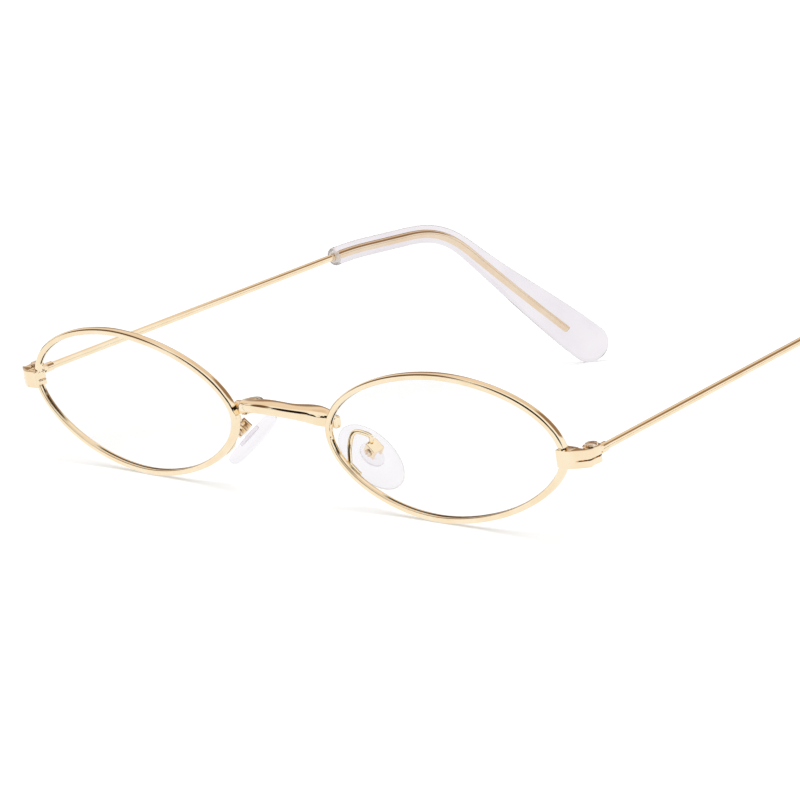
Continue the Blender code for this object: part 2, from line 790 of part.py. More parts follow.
def pad_frame():
    """Place of a pad's pivot: X along its screw, Y up the pad, Z out of its back."""
    up = Vector((-math.sin(PAD_FRONTAL_ANGLE), 0, math.cos(PAD_FRONTAL_ANGLE)))
    screw = Vector((0, math.cos(PAD_SPLAY_ANGLE), math.sin(PAD_SPLAY_ANGLE)))
    screw = (screw - up * screw.dot(up)).normalized()
    out = screw.cross(up)
    turn = Matrix((screw, up, out)).transposed().to_4x4()
    return Matrix.Translation(PAD_CENTRE + out * PAD_PIVOT) @ turn


def oval_points(width, length, steps):
    """An oval outline in X and Y."""
    points = []
    for i in range(steps):
        angle = 2 * math.pi * i / steps
        points.append((width / 2 * math.cos(angle), length / 2 * math.sin(angle)))
    return points


PAD_BACK_FACE = -PAD_PIVOT + PAD_THICKNESS / 2


def nose_pad():
    """The soft oval pad with a pocket in its back for the core."""
    outline_points = oval_points(PAD_WIDTH, PAD_LENGTH, PAD_STEPS)
    front_face = PAD_BACK_FACE - PAD_THICKNESS
    pad = plate_mesh("nose_pad", outline_points, front_face, PAD_BACK_FACE, PAD_EDGE)
    pocket = plate_mesh(
        "pocket",
        oval_points(CORE_WIDTH + 2 * SEAM, CORE_LENGTH + 2 * SEAM, PAD_STEPS),
        PAD_BACK_FACE - CORE_THICKNESS - SEAM,
        PAD_BACK_FACE + CORE_THICKNESS,
    )
    return combined(pad, [("DIFFERENCE", pocket)])


def pad_core():
    """The stiff core: an oval plate in the pad, a stem and the eyelet on the screw."""
    bottom = PAD_BACK_FACE - CORE_THICKNESS
    plate = plate_mesh(
        "pad_core", oval_points(CORE_WIDTH, CORE_LENGTH, PAD_STEPS), bottom, PAD_BACK_FACE
    )
    half = EYELET_WIDTH / 2
    eyelet = rod_mesh("eyelet", (-half, 0, 0), (half, 0, 0), EYELET_RADIUS)
    stem = box_mesh(
        "stem",
        (-half, -STEM_WIDTH / 2, PAD_BACK_FACE - CORE_THICKNESS / 2),
        (half, STEM_WIDTH / 2, 0),
    )
    bore = bore_mesh("bore", (-2 * half, 0, 0), (2 * half, 0, 0), PAD_SCREW_RADIUS + RUNNING_FIT)
    return combined(plate, [("UNION", stem), ("UNION", eyelet), ("DIFFERENCE", bore)])


BOX_INNER = EYELET_WIDTH / 2 + RUNNING_FIT
BOX_OUTER = BOX_INNER + BOX_WALL
BOX_ROOF = EYELET_RADIUS + 2 * RUNNING_FIT
BOX_TOP = BOX_ROOF + BOX_WALL
BOX_MOUTH = -EYELET_RADIUS


def pad_box():
    """The small open box that holds the eyelet, with the screw's bore across it."""
    half = BOX_LENGTH / 2
    block = box_mesh("pad_box", (-BOX_OUTER, -half, BOX_MOUTH), (BOX_OUTER, half, BOX_TOP))
    channel = box_mesh(
        "channel", (-BOX_INNER, -2 * half, 2 * BOX_MOUTH), (BOX_INNER, 2 * half, BOX_ROOF)
    )
    bore = bore_mesh(
        "bore", (-2 * BOX_OUTER, 0, 0), (2 * BOX_OUTER, 0, 0), PAD_SCREW_RADIUS + RUNNING_FIT
    )
    return combined(block, [("DIFFERENCE", channel), ("DIFFERENCE", bore)])


def pad_screw():
    """The screw across the box, its head on the front wall."""
    screw = slotted_screw(
        "pad_screw",
        PAD_SCREW_HEAD_RADIUS,
        PAD_SCREW_HEAD_HEIGHT,
        PAD_SCREW_RADIUS,
        2 * BOX_OUTER + SEAM,
    )
    turn = Matrix.Rotation(-math.pi / 2, 4, "Y")
    screw.transform(Matrix.Translation((-BOX_OUTER - SEAM, 0, 0)) @ turn)
    return screw


def blended_curve(points, steps):
    """Points on a smooth curve through a few given ones."""
    ends = [2 * points[0] - points[1]] + points + [2 * points[-1] - points[-2]]
    result = []
    for a, b, c, d in zip(ends, ends[1:], ends[2:], ends[3:]):
        for i in range(steps):
            t = i / steps
            bend = (2 * a - 5 * b + 4 * c - d) * t * t + (3 * b - a - 3 * c + d) * t ** 3
            result.append(b + ((c - a) * t + bend) / 2)
    result.append(points[-1])
    return result


def pad_arm(frame):
    """The wire from the back of the rim, over a loop and down on to the box."""
    depth = RIM_DEPTH / 2 + SEAM + ARM_RADIUS
    foot = []
    for i in range(ARM_FOOT_STEPS + 1):
        angle = ARM_FOOT_ANGLE + (ARM_LEAVE_ANGLE - ARM_FOOT_ANGLE) * i / ARM_FOOT_STEPS
        foot.append(in_front(outline(angle, RIM_OFFSET), depth))
    box_end = frame @ Vector((0, 0, BOX_TOP + SEAM))
    box_out = frame.to_3x3() @ Vector((0, 0, 1))
    leave = foot[-1]
    climb = leave + Vector(ARM_CLIMB)
    crest = leave + Vector(ARM_CREST)
    above = box_end + box_out * ARM_DROP
    loop = blended_curve([leave, climb, crest, above, box_end], ARM_STEPS)
    return wire_mesh("pad_arm", foot[:-1] + loop, ARM_RADIUS)


def add_pad_pieces(carriers, front_carriers, frame, gold, steel, clear, core):
    """Pads, cores, boxes, screws and arms of both sides."""
    for name, mesh, material in (
        ("pad_box", pad_box(), gold),
        ("pad_screw", pad_screw(), steel),
    ):
        mesh.transform(frame)
        add_pair(name, mesh, material, front_carriers)
    add_pair("pad_arm", pad_arm(frame), gold, front_carriers)
    add_pair("pad_core", pad_core(), core, carriers)
    add_pair("nose_pad", nose_pad(), clear, carriers)


# Stance on the table


def lowest(points, tilt):
    """Least height of a set of points after the front is tipped by an angle."""
    return min(point.y * math.sin(tilt) + point.z * math.cos(tilt) for point in points)


def table_tilt():
    """The tilt at which the rims and the temple tips rest on one plane."""
    half = RIM_DEPTH / 2
    outer = RIM_OFFSET + RIM_THICKNESS / 2
    rim = outline_ring(outer, half - RIM_EDGE) + outline_ring(outer, RIM_EDGE - half)
    tip = [vertex.co + HINGE for vertex in bpy.data.objects["left_temple_tip"].data.vertices]
    low = 0.0
    high = math.pi / 4
    for _ in range(TILT_HALVINGS):
        middle = (low + high) / 2
        if lowest(tip, middle) < lowest(rim, middle):
            low = middle
        else:
            high = middle
    return middle


def stand_on_table(stance):
    """Tip the object, then centre it over the origin with its lowest point at zero."""
    stance.rotation_euler.x = table_tilt()
    bpy.context.view_layer.update()
    corners = []
    for item in parts.objects:
        if item.type == "MESH":
            corners += [item.matrix_world @ vertex.co for vertex in item.data.vertices]
    low, high = (Vector(pick(axis) for axis in zip(*corners)) for pick in (min, max))
    stance.location = (0, -(low.y + high.y) / 2, -low.z)
    bpy.context.view_layer.update()


def build_eyeglasses():
    """Make every piece and set the object on the table."""
    gold = new_material("polished_gold", (0.86, 0.66, 0.38), 1.0, 0.12)
    steel = new_material("screw_steel", (0.62, 0.58, 0.52), 1.0, 0.25)
    glass = new_material("clear_lens", (0.95, 0.97, 0.97), 0.0, 0.02, 1.0)
    clear = new_material("clear_tip", (0.90, 0.87, 0.92), 0.0, 0.1, 0.9)
    soft = new_material("clear_pad", (0.93, 0.92, 0.94), 0.0, 0.15, 0.9)
    core = new_material("pad_core", (0.92, 0.91, 0.92), 0.0, 0.2, 0.8)
    stance = add_empty("stance", None, Matrix())
    front = (stance, stance)
    add_rim_pieces(front, gold, steel, glass)
    add_pair("end_piece", end_piece(), gold, front)
    temples = add_carriers("temple_pivot", stance, Matrix.Translation(HINGE))
    add_temple_pieces(temples, front, gold, steel, clear)
    add_piece("bridge", bridge(), gold, stance)
    frame = pad_frame()
    pads = add_carriers("pad_pivot", stance, frame)
    add_pad_pieces(pads, front, frame, gold, steel, soft, core)
    stand_on_table(stance)


remove_scene_objects()
parts = new_collection("oval_wire_eyeglasses")
guides = new_collection("guides")
cutters = new_collection("cutters")
build_eyeglasses()
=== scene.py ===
"""Oval wire eyeglasses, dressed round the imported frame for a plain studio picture.

Every piece is modelled in the frame of the front: X across the face towards the wearer's
left, Y back towards the ears, Z up, with the origin midway between the lens centres.  The
stance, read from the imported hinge, then sets the piece down on the table.
"""
import json
import logging
import math
from dataclasses import dataclass, field
from enum import Enum
from typing import Callable, Dict, List, Optional, Sequence, Tuple

import bpy
from mathutils import Matrix, Vector


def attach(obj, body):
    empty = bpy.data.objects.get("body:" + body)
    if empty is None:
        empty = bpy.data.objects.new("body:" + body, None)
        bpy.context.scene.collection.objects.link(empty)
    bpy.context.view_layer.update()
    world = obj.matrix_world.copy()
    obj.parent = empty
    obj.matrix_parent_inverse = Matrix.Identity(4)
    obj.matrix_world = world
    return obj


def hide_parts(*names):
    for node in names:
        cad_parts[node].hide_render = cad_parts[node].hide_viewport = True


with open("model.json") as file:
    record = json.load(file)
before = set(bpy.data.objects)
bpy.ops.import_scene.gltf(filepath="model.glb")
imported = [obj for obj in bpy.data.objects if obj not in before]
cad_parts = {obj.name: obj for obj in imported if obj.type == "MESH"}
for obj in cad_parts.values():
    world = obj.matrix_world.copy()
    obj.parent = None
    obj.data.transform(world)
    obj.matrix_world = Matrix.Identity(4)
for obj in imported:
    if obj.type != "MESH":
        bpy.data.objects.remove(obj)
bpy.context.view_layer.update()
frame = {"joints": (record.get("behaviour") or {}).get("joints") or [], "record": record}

MM = 0.001
UP = Vector((0, 0, 1))
TOUCH = MM / 1000
WELD = 1e-7
BEVEL_ANGLE = math.radians(35)
SMOOTH_ANGLE = math.radians(32)
WIRE_FACETS = 6
TANGENT_STEP = 0.01

# Colour sockets of a Mix node
MIX_UNDER = 6
MIX_OVER = 7
MIX_RESULT = 2

LOG = logging.getLogger("eyeglasses")

Color = Tuple[float, float, float]
Ring = List[Vector]


class Side(Enum):
    """The wearer's left or right."""

    LEFT = "left"
    RIGHT = "right"


class Carrier(Enum):
    """What a piece moves with; a temple or a pad has one body on each side."""

    FRONT = "front"
    TEMPLE = "temple"
    PAD = "pad"

    def body(self, side: Side) -> str:
        """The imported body's name on one side."""
        return self.value if self is Carrier.FRONT else f"{side.value}_{self.value}"


class Cut(Enum):
    """How one shape is combined with another."""

    ADD = "UNION"
    REMOVE = "DIFFERENCE"


# Tools of the bench


class Bench:
    """Modelling steps that several pieces share."""

    @staticmethod
    def clear() -> None:
        """Deselect every object."""
        bpy.ops.object.select_all(action="DESELECT")

    @staticmethod
    def only(item: bpy.types.Object) -> None:
        """Make one object the only selected and the active one."""
        Bench.clear()
        item.select_set(True)
        bpy.context.view_layer.objects.active = item

    @staticmethod
    def settle() -> bpy.types.Object:
        """Apply the place of the active object to its mesh."""
        bpy.ops.object.transform_apply(location=True, rotation=True, scale=True)
        return bpy.context.object

    @staticmethod
    def box(low: Sequence[float], high: Sequence[float]) -> bpy.types.Object:
        """A box between two corners.

        Args:
            low: The lowest corner.
            high: The highest corner.

        Returns:
            The new object.
        """
        Bench.clear()
        first, last = Vector(low), Vector(high)
        bpy.ops.mesh.primitive_cube_add(size=1, location=(first + last) / 2, scale=last - first)
        return Bench.settle()

    @staticmethod
    def rod(start: Vector, end: Vector, radius: float, sides: int = 40) -> bpy.types.Object:
        """A round rod between two points.

        Args:
            start: Middle of the first end.
            end: Middle of the last end.
            radius: Radius of the rod.
            sides: Number of its flats.

        Returns:
            The new object.
        """
        Bench.clear()
        axis = end - start
        bpy.ops.mesh.primitive_cylinder_add(
            vertices=sides,
            radius=radius,
            depth=axis.length,
            location=(start + end) / 2,
            rotation=axis.to_track_quat("Z", "Y").to_euler(),
        )
        return Bench.settle()

    @staticmethod
    def combine(item: bpy.types.Object, tool: bpy.types.Object, cut: Cut) -> None:
        """Add one solid to another or cut it away, and remove the tool.

        Args:
            item: The solid that stays.
            tool: The solid that is used up.
            cut: Whether it is added or removed.
        """
        modifier = item.modifiers.new(cut.name, "BOOLEAN")
        modifier.operation = cut.value
        modifier.object = tool
        Bench.apply(item, modifier)
        bpy.data.objects.remove(tool, do_unlink=True)

    @staticmethod
    def apply(item: bpy.types.Object, modifier: bpy.types.Modifier) -> None:
        """Make a modifier's result the object's own mesh."""
        Bench.only(item)
        bpy.ops.object.modifier_apply(modifier=modifier.name)

    @staticmethod
    def round_edges(item: bpy.types.Object, width: float, segments: int = 3) -> None:
        """Round the sharp edges of a solid, as polishing does.

        Args:
            item: The solid.
            width: Width of the rounding.
            segments: Number of its facets.
        """
        modifier = item.modifiers.new("Polished edges", "BEVEL")
        modifier.width = width
        modifier.segments = segments
        modifier.limit_method = "ANGLE"
        modifier.angle_limit = BEVEL_ANGLE
        Bench.apply(item, modifier)

    @staticmethod
    def pick(item: bpy.types.Object, test: Callable[[Vector, Vector], bool]) -> None:
        """Enter edit mode with the faces selected that pass a test.

        Args:
            item: The object to edit.
            test: Takes a face's centre and normal.
        """
        Bench.only(item)
        bpy.ops.object.mode_set(mode="EDIT")
        bpy.context.tool_settings.mesh_select_mode = (False, False, True)
        bpy.ops.mesh.select_all(action="DESELECT")
        bpy.ops.object.mode_set(mode="OBJECT")
        for face in item.data.polygons:
            face.select = test(face.center, face.normal)
        bpy.ops.object.mode_set(mode="EDIT")

    @staticmethod
    def pick_edges(item: bpy.types.Object, test: Callable[[Vector, Vector], bool]) -> None:
        """Enter edit mode with the edges selected that pass a test.

        Args:
            item: The object to edit.
            test: Takes an edge's two ends.
        """
        Bench.only(item)
        bpy.ops.object.mode_set(mode="EDIT")
        bpy.context.tool_settings.mesh_select_mode = (False, True, False)
        bpy.ops.mesh.select_all(action="DESELECT")
        bpy.ops.object.mode_set(mode="OBJECT")
        points = item.data.vertices
        for edge in item.data.edges:
            first, last = edge.vertices
            edge.select = test(points[first].co, points[last].co)
        bpy.ops.object.mode_set(mode="EDIT")

    @staticmethod
    def leave() -> None:
        """Go back to object mode."""
        bpy.ops.object.mode_set(mode="OBJECT")

    @staticmethod
    def tidy(item: bpy.types.Object) -> None:
        """Merge doubled points and turn all faces outwards."""
        Bench.only(item)
        bpy.ops.object.mode_set(mode="EDIT")
        bpy.ops.mesh.select_all(action="SELECT")
        bpy.ops.mesh.remove_doubles(threshold=WELD)
        bpy.ops.mesh.normals_make_consistent(inside=False)
        Bench.leave()

    @staticmethod
    def move(item: bpy.types.Object, matrix: Matrix) -> None:
        """Carry an object's mesh to a new place."""
        Bench.only(item)
        item.matrix_world = matrix
        Bench.settle()


class Extrusion:
    """A section carried along a path in edit mode, one ring at a time."""

    def __init__(self, section: Ring) -> None:
        """Shape a circle into the section at the start of the path."""
        Bench.clear()
        bpy.ops.mesh.primitive_circle_add(vertices=len(section), radius=MM, fill_type="NOTHING")
        self.item = bpy.context.object
        for vertex, point in zip(self.item.data.vertices, section):
            vertex.co = point
        bpy.ops.object.mode_set(mode="EDIT")
        bpy.context.tool_settings.mesh_select_mode = (False, True, False)
        bpy.ops.mesh.select_all(action="SELECT")

    def step(
        self,
        centre: Vector,
        move: Vector,
        turn: float = 0.0,
        axis: str = "X",
        stretch: Optional[Sequence[float]] = None,
    ) -> None:
        """Extrude the last ring, then turn it and stretch it about its new centre.

        Args:
            centre: Middle of the new ring.
            move: The way from the last ring's middle.
            turn: Right-handed turn in radians.
            axis: Axis of that turn.
            stretch: Factors along X, Y and Z.
        """
        bpy.ops.mesh.extrude_edges_move(TRANSFORM_OT_translate={"value": move})
        if turn:
            bpy.ops.transform.rotate(
                value=-turn, orient_axis=axis, orient_type="GLOBAL", center_override=centre
            )
        if stretch is not None:
            bpy.ops.transform.resize(value=stretch, orient_type="GLOBAL", center_override=centre)

    def close(self) -> bpy.types.Object:
        """Cover the two open ends and return the finished solid."""
        bpy.ops.mesh.select_all(action="SELECT")
        bpy.ops.mesh.fill_holes(sides=0)
        Bench.leave()
        Bench.tidy(self.item)
        return self.item


def eased(share: float) -> float:
    """A smooth step from nought to one."""
    share = min(max(share, 0.0), 1.0)
    return share * share * (3 - 2 * share)


def oval(half_x: float, half_y: float, sides: int, power: float = 2.0) -> List[Tuple[float, float]]:
    """An oval outline, squarer for a power over two.

    Args:
        half_x: Half of its size along X.
        half_y: Half of its size along Y.
        sides: Number of its points.
        power: Power of the oval.

    Returns:
        The points as pairs.
    """
    points = []
    for i in range(sides):
        angle = 2 * math.pi * i / sides
        across, up = math.cos(angle), math.sin(angle)
        points.append(
            (
                half_x * math.copysign(abs(across) ** (2 / power), across),
                half_y * math.copysign(abs(up) ** (2 / power), up),
            )
        )
    return points


def bent_wire(points: Sequence[Vector], radius: float) -> bpy.types.Object:
    """A round wire bent along a row of points.

    Args:
        points: The wire's centre line.
        radius: Radius of the wire.

    Returns:
        The wire as a closed mesh.
    """
    Bench.clear()
    bpy.ops.curve.primitive_nurbs_path_add()
    item = bpy.context.object
    curve = item.data
    curve.splines.clear()
    spline = curve.splines.new("POLY")
    spline.points.add(len(points) - 1)
    for control, point in zip(spline.points, points):
        control.co = (*point, 1)
    curve.bevel_depth = radius
    curve.bevel_resolution = WIRE_FACETS
    curve.use_fill_caps = True
    bpy.ops.object.convert(target="MESH")
    Bench.tidy(item)
    return item


# Finishes


class Shading:
    """A material's node tree with its main shader, and the nodes that vary it."""

    NOISE_SPAN = (0.3, 0.7)
    TONE_SPAN = (0.35, 0.65)

    def __init__(self, name: str) -> None:
        """Start a material with its main shader."""
        self.material = bpy.data.materials.new(name)
        self.material.use_nodes = True
        self.tree = self.material.node_tree
        self.shader = self.tree.nodes["Principled BSDF"]
        self.place = self.tree.nodes.new("ShaderNodeTexCoord").outputs["Object"]

    def set(self, **values: object) -> None:
        """Set plain values on the shader's sockets, with spaces written as underscores."""
        for name, value in values.items():
            self.shader.inputs[name.replace("_", " ")].default_value = value

    def noise(self, scale: float, detail: float, stretch: Sequence[float] = (1, 1, 1)):
        """A noise over the object.

        Args:
            scale: Waves to the metre.
            detail: Number of finer layers.
            stretch: Factors on X, Y and Z before the noise is read.

        Returns:
            The noise's factor socket.
        """
        mapping = self.tree.nodes.new("ShaderNodeMapping")
        mapping.inputs["Scale"].default_value = stretch
        self.tree.links.new(self.place, mapping.inputs["Vector"])
        noise = self.tree.nodes.new("ShaderNodeTexNoise")
        noise.inputs["Scale"].default_value = scale
        noise.inputs["Detail"].default_value = detail
        self.tree.links.new(mapping.outputs["Vector"], noise.inputs["Vector"])
        return noise.outputs["Fac"]

    def spread(self, source, low: float, high: float):
        """The middle of a noise spread between two values.

        Args:
            source: The noise's socket.
            low: Value where the noise is low.
            high: Value where the noise is high.

        Returns:
            The spread socket.
        """
        spread = self.tree.nodes.new("ShaderNodeMapRange")
        spread.inputs["From Min"].default_value = self.NOISE_SPAN[0]
        spread.inputs["From Max"].default_value = self.NOISE_SPAN[1]
        spread.inputs["To Min"].default_value = low
        spread.inputs["To Max"].default_value = high
        self.tree.links.new(source, spread.inputs["Value"])
        return spread.outputs["Result"]

    def vary_color(self, source, first: Color, second: Color) -> None:
        """Let the base colour drift between two tones."""
        ramp = self.tree.nodes.new("ShaderNodeValToRGB")
        stops = ramp.color_ramp.elements
        for stop, position, tone in zip(stops, self.TONE_SPAN, (first, second)):
            stop.position = position
            stop.color = (*tone, 1)
        self.tree.links.new(source, ramp.inputs["Fac"])
        self.tree.links.new(ramp.outputs["Color"], self.shader.inputs["Base Color"])

    def vary_roughness(self, source, low: float, high: float) -> None:
        """Let the gloss drift between two values."""
        self.tree.links.new(self.spread(source, low, high), self.shader.inputs["Roughness"])

    def bump(self, source, depth: float) -> None:
        """Raise the surface by a noise, with its depth in metres."""
        bump = self.tree.nodes.new("ShaderNodeBump")
        bump.inputs["Distance"].default_value = depth
        self.tree.links.new(source, bump.inputs["Height"])
        self.tree.links.new(bump.outputs["Normal"], self.shader.inputs["Normal"])


@dataclass(frozen=True)
class PolishedGold:
    """Pale gold plate, buffed bright, with faint tarnish and hairlines."""

    name: str = "polished_gold"
    pale: Color = (0.98, 0.84, 0.62)
    warm: Color = (0.96, 0.785, 0.54)
    tarnish_scale: float = 260.0
    hairline_scale: float = 2600.0
    hairline_stretch: Tuple[float, float, float] = (1, 0.12, 1)
    hairline_depth: float = 0.0000012
    low_gloss: float = 0.03
    high_gloss: float = 0.09

    def material(self) -> bpy.types.Material:
        """Mix the plate."""
        shading = Shading(self.name)
        shading.set(Metallic=1.0)
        tarnish = shading.noise(self.tarnish_scale, 3.0)
        shading.vary_color(tarnish, self.pale, self.warm)
        hairlines = shading.noise(self.hairline_scale, 2.0, self.hairline_stretch)
        shading.vary_roughness(hairlines, self.low_gloss, self.high_gloss)
        shading.bump(hairlines, self.hairline_depth)
        return shading.material


@dataclass(frozen=True)
class TurnedSteel:
    """Small machined screws, plated to go with the gold."""

    name: str = "turned_screw"
    bright: Color = (0.94, 0.82, 0.68)
    dull: Color = (0.76, 0.64, 0.52)
    mark_scale: float = 3200.0
    mark_stretch: Tuple[float, float, float] = (1, 1, 0.2)
    mark_depth: float = 0.000002
    low_gloss: float = 0.16
    high_gloss: float = 0.30

    def material(self) -> bpy.types.Material:
        """Mix the screw metal."""
        shading = Shading(self.name)
        shading.set(Metallic=1.0)
        marks = shading.noise(self.mark_scale, 2.0, self.mark_stretch)
        shading.vary_color(marks, self.bright, self.dull)
        shading.vary_roughness(marks, self.low_gloss, self.high_gloss)
        shading.bump(marks, self.mark_depth)
        return shading.material


@dataclass(frozen=True)
class ClearPlastic:
    """See-through plastic or silicone with a faint cast and a moulded skin."""

    name: str
    cast: Color
    thin: Color
    ior: float
    low_gloss: float
    high_gloss: float
    clearness: float = 1.0
    cloud_scale: float = 140.0
    skin_scale: float = 1500.0
    ripple: float = 0.0000015

    def material(self) -> bpy.types.Material:
        """Mix the plastic."""
        shading = Shading(self.name)
        shading.set(Transmission_Weight=self.clearness, IOR=self.ior)
        cloud = shading.noise(self.cloud_scale, 2.0)
        shading.vary_color(cloud, self.cast, self.thin)
        skin = shading.noise(self.skin_scale, 3.0)
        shading.vary_roughness(skin, self.low_gloss, self.high_gloss)
        shading.bump(skin, self.ripple)
        return shading.material


SLEEVE = ClearPlastic(
    "clear_sleeve", (0.82, 0.785, 0.825), (0.87, 0.84, 0.875),
    ior=1.16, low_gloss=0.02, high_gloss=0.06,
)
SILICONE = ClearPlastic(
    "clear_silicone", (0.89, 0.87, 0.895), (0.93, 0.91, 0.935),
    ior=1.07, low_gloss=0.16, high_gloss=0.26,
)
CORE = ClearPlastic(
    "clear_core", (0.93, 0.915, 0.93), (0.95, 0.94, 0.95),
    ior=1.04, low_gloss=0.12, high_gloss=0.2,
)
LENS = ClearPlastic(
    "clear_lens", (0.985, 0.99, 0.985), (0.995, 1.0, 0.995),
    ior=1.12, low_gloss=0.0, high_gloss=0.012,
)
CUT_END = ClearPlastic(
    "frosted_end", (0.90, 0.83, 0.80), (0.94, 0.88, 0.85),
    ior=1.16, low_gloss=0.3, high_gloss=0.5, clearness=0.35,
)


class Finishes:
    """One material for each finish, made once."""

    def __init__(self) -> None:
        """Mix every finish."""
        self.gold = PolishedGold().material()
        self.screw = TurnedSteel().material()
        self.sleeve = SLEEVE.material()
        self.pad = SILICONE.material()
        self.core = CORE.material()
        self.lens = LENS.material()
        self.cut_end = CUT_END.material()

    def for_slot(self, slot: str) -> bpy.types.Material:
        """The finish of one of the record's material slots."""
        return {
            "polished_gold": self.gold,
            "screw_steel": self.screw,
            "clear_lens": self.lens,
            "clear_tip": self.sleeve,
            "clear_pad": self.pad,
            "pad_core": self.core,
        }[slot]


# Sizes that several pieces share


@dataclass(frozen=True)
class Fits:
    """Clearances of the soldered and of the running joints."""

    seam: float = 0.04 * MM
    running: float = 0.06 * MM


@dataclass(frozen=True)
class LensShape:
    """Outline and curve of a lens, in a plane of its own: X out, Y back, Z up."""

    width: float = 51.3 * MM
    height: float = 25.02 * MM
    gap: float = 22.9 * MM
    curve_radius: float = 303 * MM
    wrap: float = math.radians(1.83)
    fit: float = 0.05 * MM
    power: float = 1.862
    lean: float = 0.175
    droop: float = 0.0115

    def bare(self, angle: float) -> Vector:
        """A point of the lens edge."""
        across, up = math.cos(angle), math.sin(angle)
        swell = 1 + self.droop * math.sin(3 * angle)
        x = self.width / 2 * swell * math.copysign(abs(across) ** (2 / self.power), across)
        z = self.height / 2 * swell * math.copysign(abs(up) ** (2 / self.power), up)
        return Vector((x + self.lean * z, 0, z))

    def tangent(self, angle: float) -> Vector:
        """Direction of the lens edge."""
        ahead, behind = self.bare(angle + TANGENT_STEP), self.bare(angle - TANGENT_STEP)
        return (ahead - behind).normalized()

    def normal(self, angle: float) -> Vector:
        """Direction out of the lens edge."""
        tangent = self.tangent(angle)
        return Vector((tangent.z, 0, -tangent.x))

    def edge(self, angle: float, offset: float) -> Vector:
        """A point of the lens edge moved out along its normal."""
        return self.bare(angle) + offset * self.normal(angle)

    def place(self, point: Vector) -> Vector:
        """Curve a point of the lens plane and set it in the front."""
        x, y, z = point
        y += (x * x + z * z) / (2 * self.curve_radius)
        across = (self.gap + self.width) / 2 + x * math.cos(self.wrap) - y * math.sin(self.wrap)
        return Vector((across, x * math.sin(self.wrap) + y * math.cos(self.wrap), z))

    def curve(self, item: bpy.types.Object) -> None:
        """Curve a flat piece and set it in the front."""
        for vertex in item.data.vertices:
            vertex.co = self.place(vertex.co)


@dataclass(frozen=True)
class RimSection:
    """Cross-section of the rim's grooved wire."""

    thickness: float = 1.1 * MM
    depth: float = 1.5 * MM
    outer_rounding: float = 0.45 * MM
    inner_rounding: float = 0.2 * MM
    rounding_steps: int = 6
    groove_depth: float = 0.45 * MM
    shown_groove: float = 0.25 * MM

    def outline(self) -> List[Tuple[float, float]]:
        """Points of the section: out from the lens, and back."""
        half = Vector((self.thickness / 2, self.depth / 2))
        points = []
        for quarter, (out, back) in enumerate(((1, -1), (1, 1), (-1, 1), (-1, -1))):
            rounding = self.outer_rounding if out > 0 else self.inner_rounding
            centre = Vector(((half.x - rounding) * out, (half.y - rounding) * back))
            for i in range(self.rounding_steps + 1):
                angle = math.pi / 2 * (quarter - 1 + i / self.rounding_steps)
                tip = centre + rounding * Vector((math.cos(angle), math.sin(angle)))
                points.append((tip.x, tip.y))
            if quarter == 2:
                points.append((-half.x, self.shown_groove))
                points.append((-half.x + self.shown_groove, 0))
                points.append((-half.x, -self.shown_groove))
        return points


@dataclass(frozen=True)
class FrontPlan:
    """Places of the locks, end pieces and hinges at the outer end of a rim."""

    lens: LensShape = LensShape()
    section: RimSection = RimSection()
    fits: Fits = Fits()
    end_height: float = 3.4 * MM
    end_trim: float = 0.45 * MM
    end_rise: float = 0.7 * MM
    plate_thickness: float = 0.65 * MM
    plate_overlap: float = 0.55 * MM
    lock_length: float = 2.0 * MM
    lock_depth: float = 2.2 * MM
    block_gap: float = 0.15 * MM
    knuckle_radius: float = 1.5 * MM
    knuckle_inset: float = 0.1 * MM
    hinge_reach: float = 2.0 * MM
    outline_points: int = 64

    @property
    def rim_offset(self) -> float:
        """From the lens edge out to the middle of the rim's wire."""
        return self.lens.fit + self.section.thickness / 2 - self.section.groove_depth

    @property
    def rim_end(self) -> Vector:
        """The outermost point of the rim's middle."""
        angles = [2 * math.pi * i / self.outline_points for i in range(self.outline_points)]
        ring = [self.lens.place(self.lens.edge(angle, self.rim_offset)) for angle in angles]
        return max(ring, key=lambda point: point.x)

    @property
    def nasal_rim(self) -> Vector:
        """The point of the rim's middle beside the nose."""
        return self.lens.place(self.lens.edge(math.pi, self.rim_offset))

    @property
    def lock_low(self) -> Vector:
        """Lowest corner of the closed lock."""
        inner = self.rim_end.x - self.section.thickness / 2 + self.section.groove_depth
        front = self.rim_end.y - self.section.depth / 2
        return Vector((inner, front, self.end_low + self.end_trim + self.knuckle_inset))

    @property
    def lock_high(self) -> Vector:
        """Highest corner of the closed lock."""
        low = self.lock_low
        top = self.end_high - self.knuckle_inset
        return Vector((low.x + self.lock_length, low.y + self.lock_depth, top))

    @property
    def end_low(self) -> float:
        """Height of the end piece's bottom."""
        return self.end_rise - self.end_height / 2

    @property
    def end_high(self) -> float:
        """Height of the end piece's top."""
        return self.end_rise + self.end_height / 2

    @property
    def hinge(self) -> Vector:
        """A point of the temple's hinge axis."""
        across = self.lock_high.x + self.block_gap + self.knuckle_radius - self.knuckle_inset
        return Vector((across, self.lock_high.y - self.block_gap + self.knuckle_radius, 0))


def stance(plan: FrontPlan) -> Matrix:
    """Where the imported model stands, from its left hinge.

    Args:
        plan: Places in the frame of the front.

    Returns:
        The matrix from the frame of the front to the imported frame.
    """
    fold = next(joint for joint in frame["joints"] if joint["name"] == "left_temple_fold")
    axis = Vector(fold["axis"])
    turn = Matrix.Rotation(math.atan2(-axis.y, axis.z), 4, "X")
    return Matrix.Translation(Vector(fold["pos_m"]) - turn @ plan.hinge) @ turn


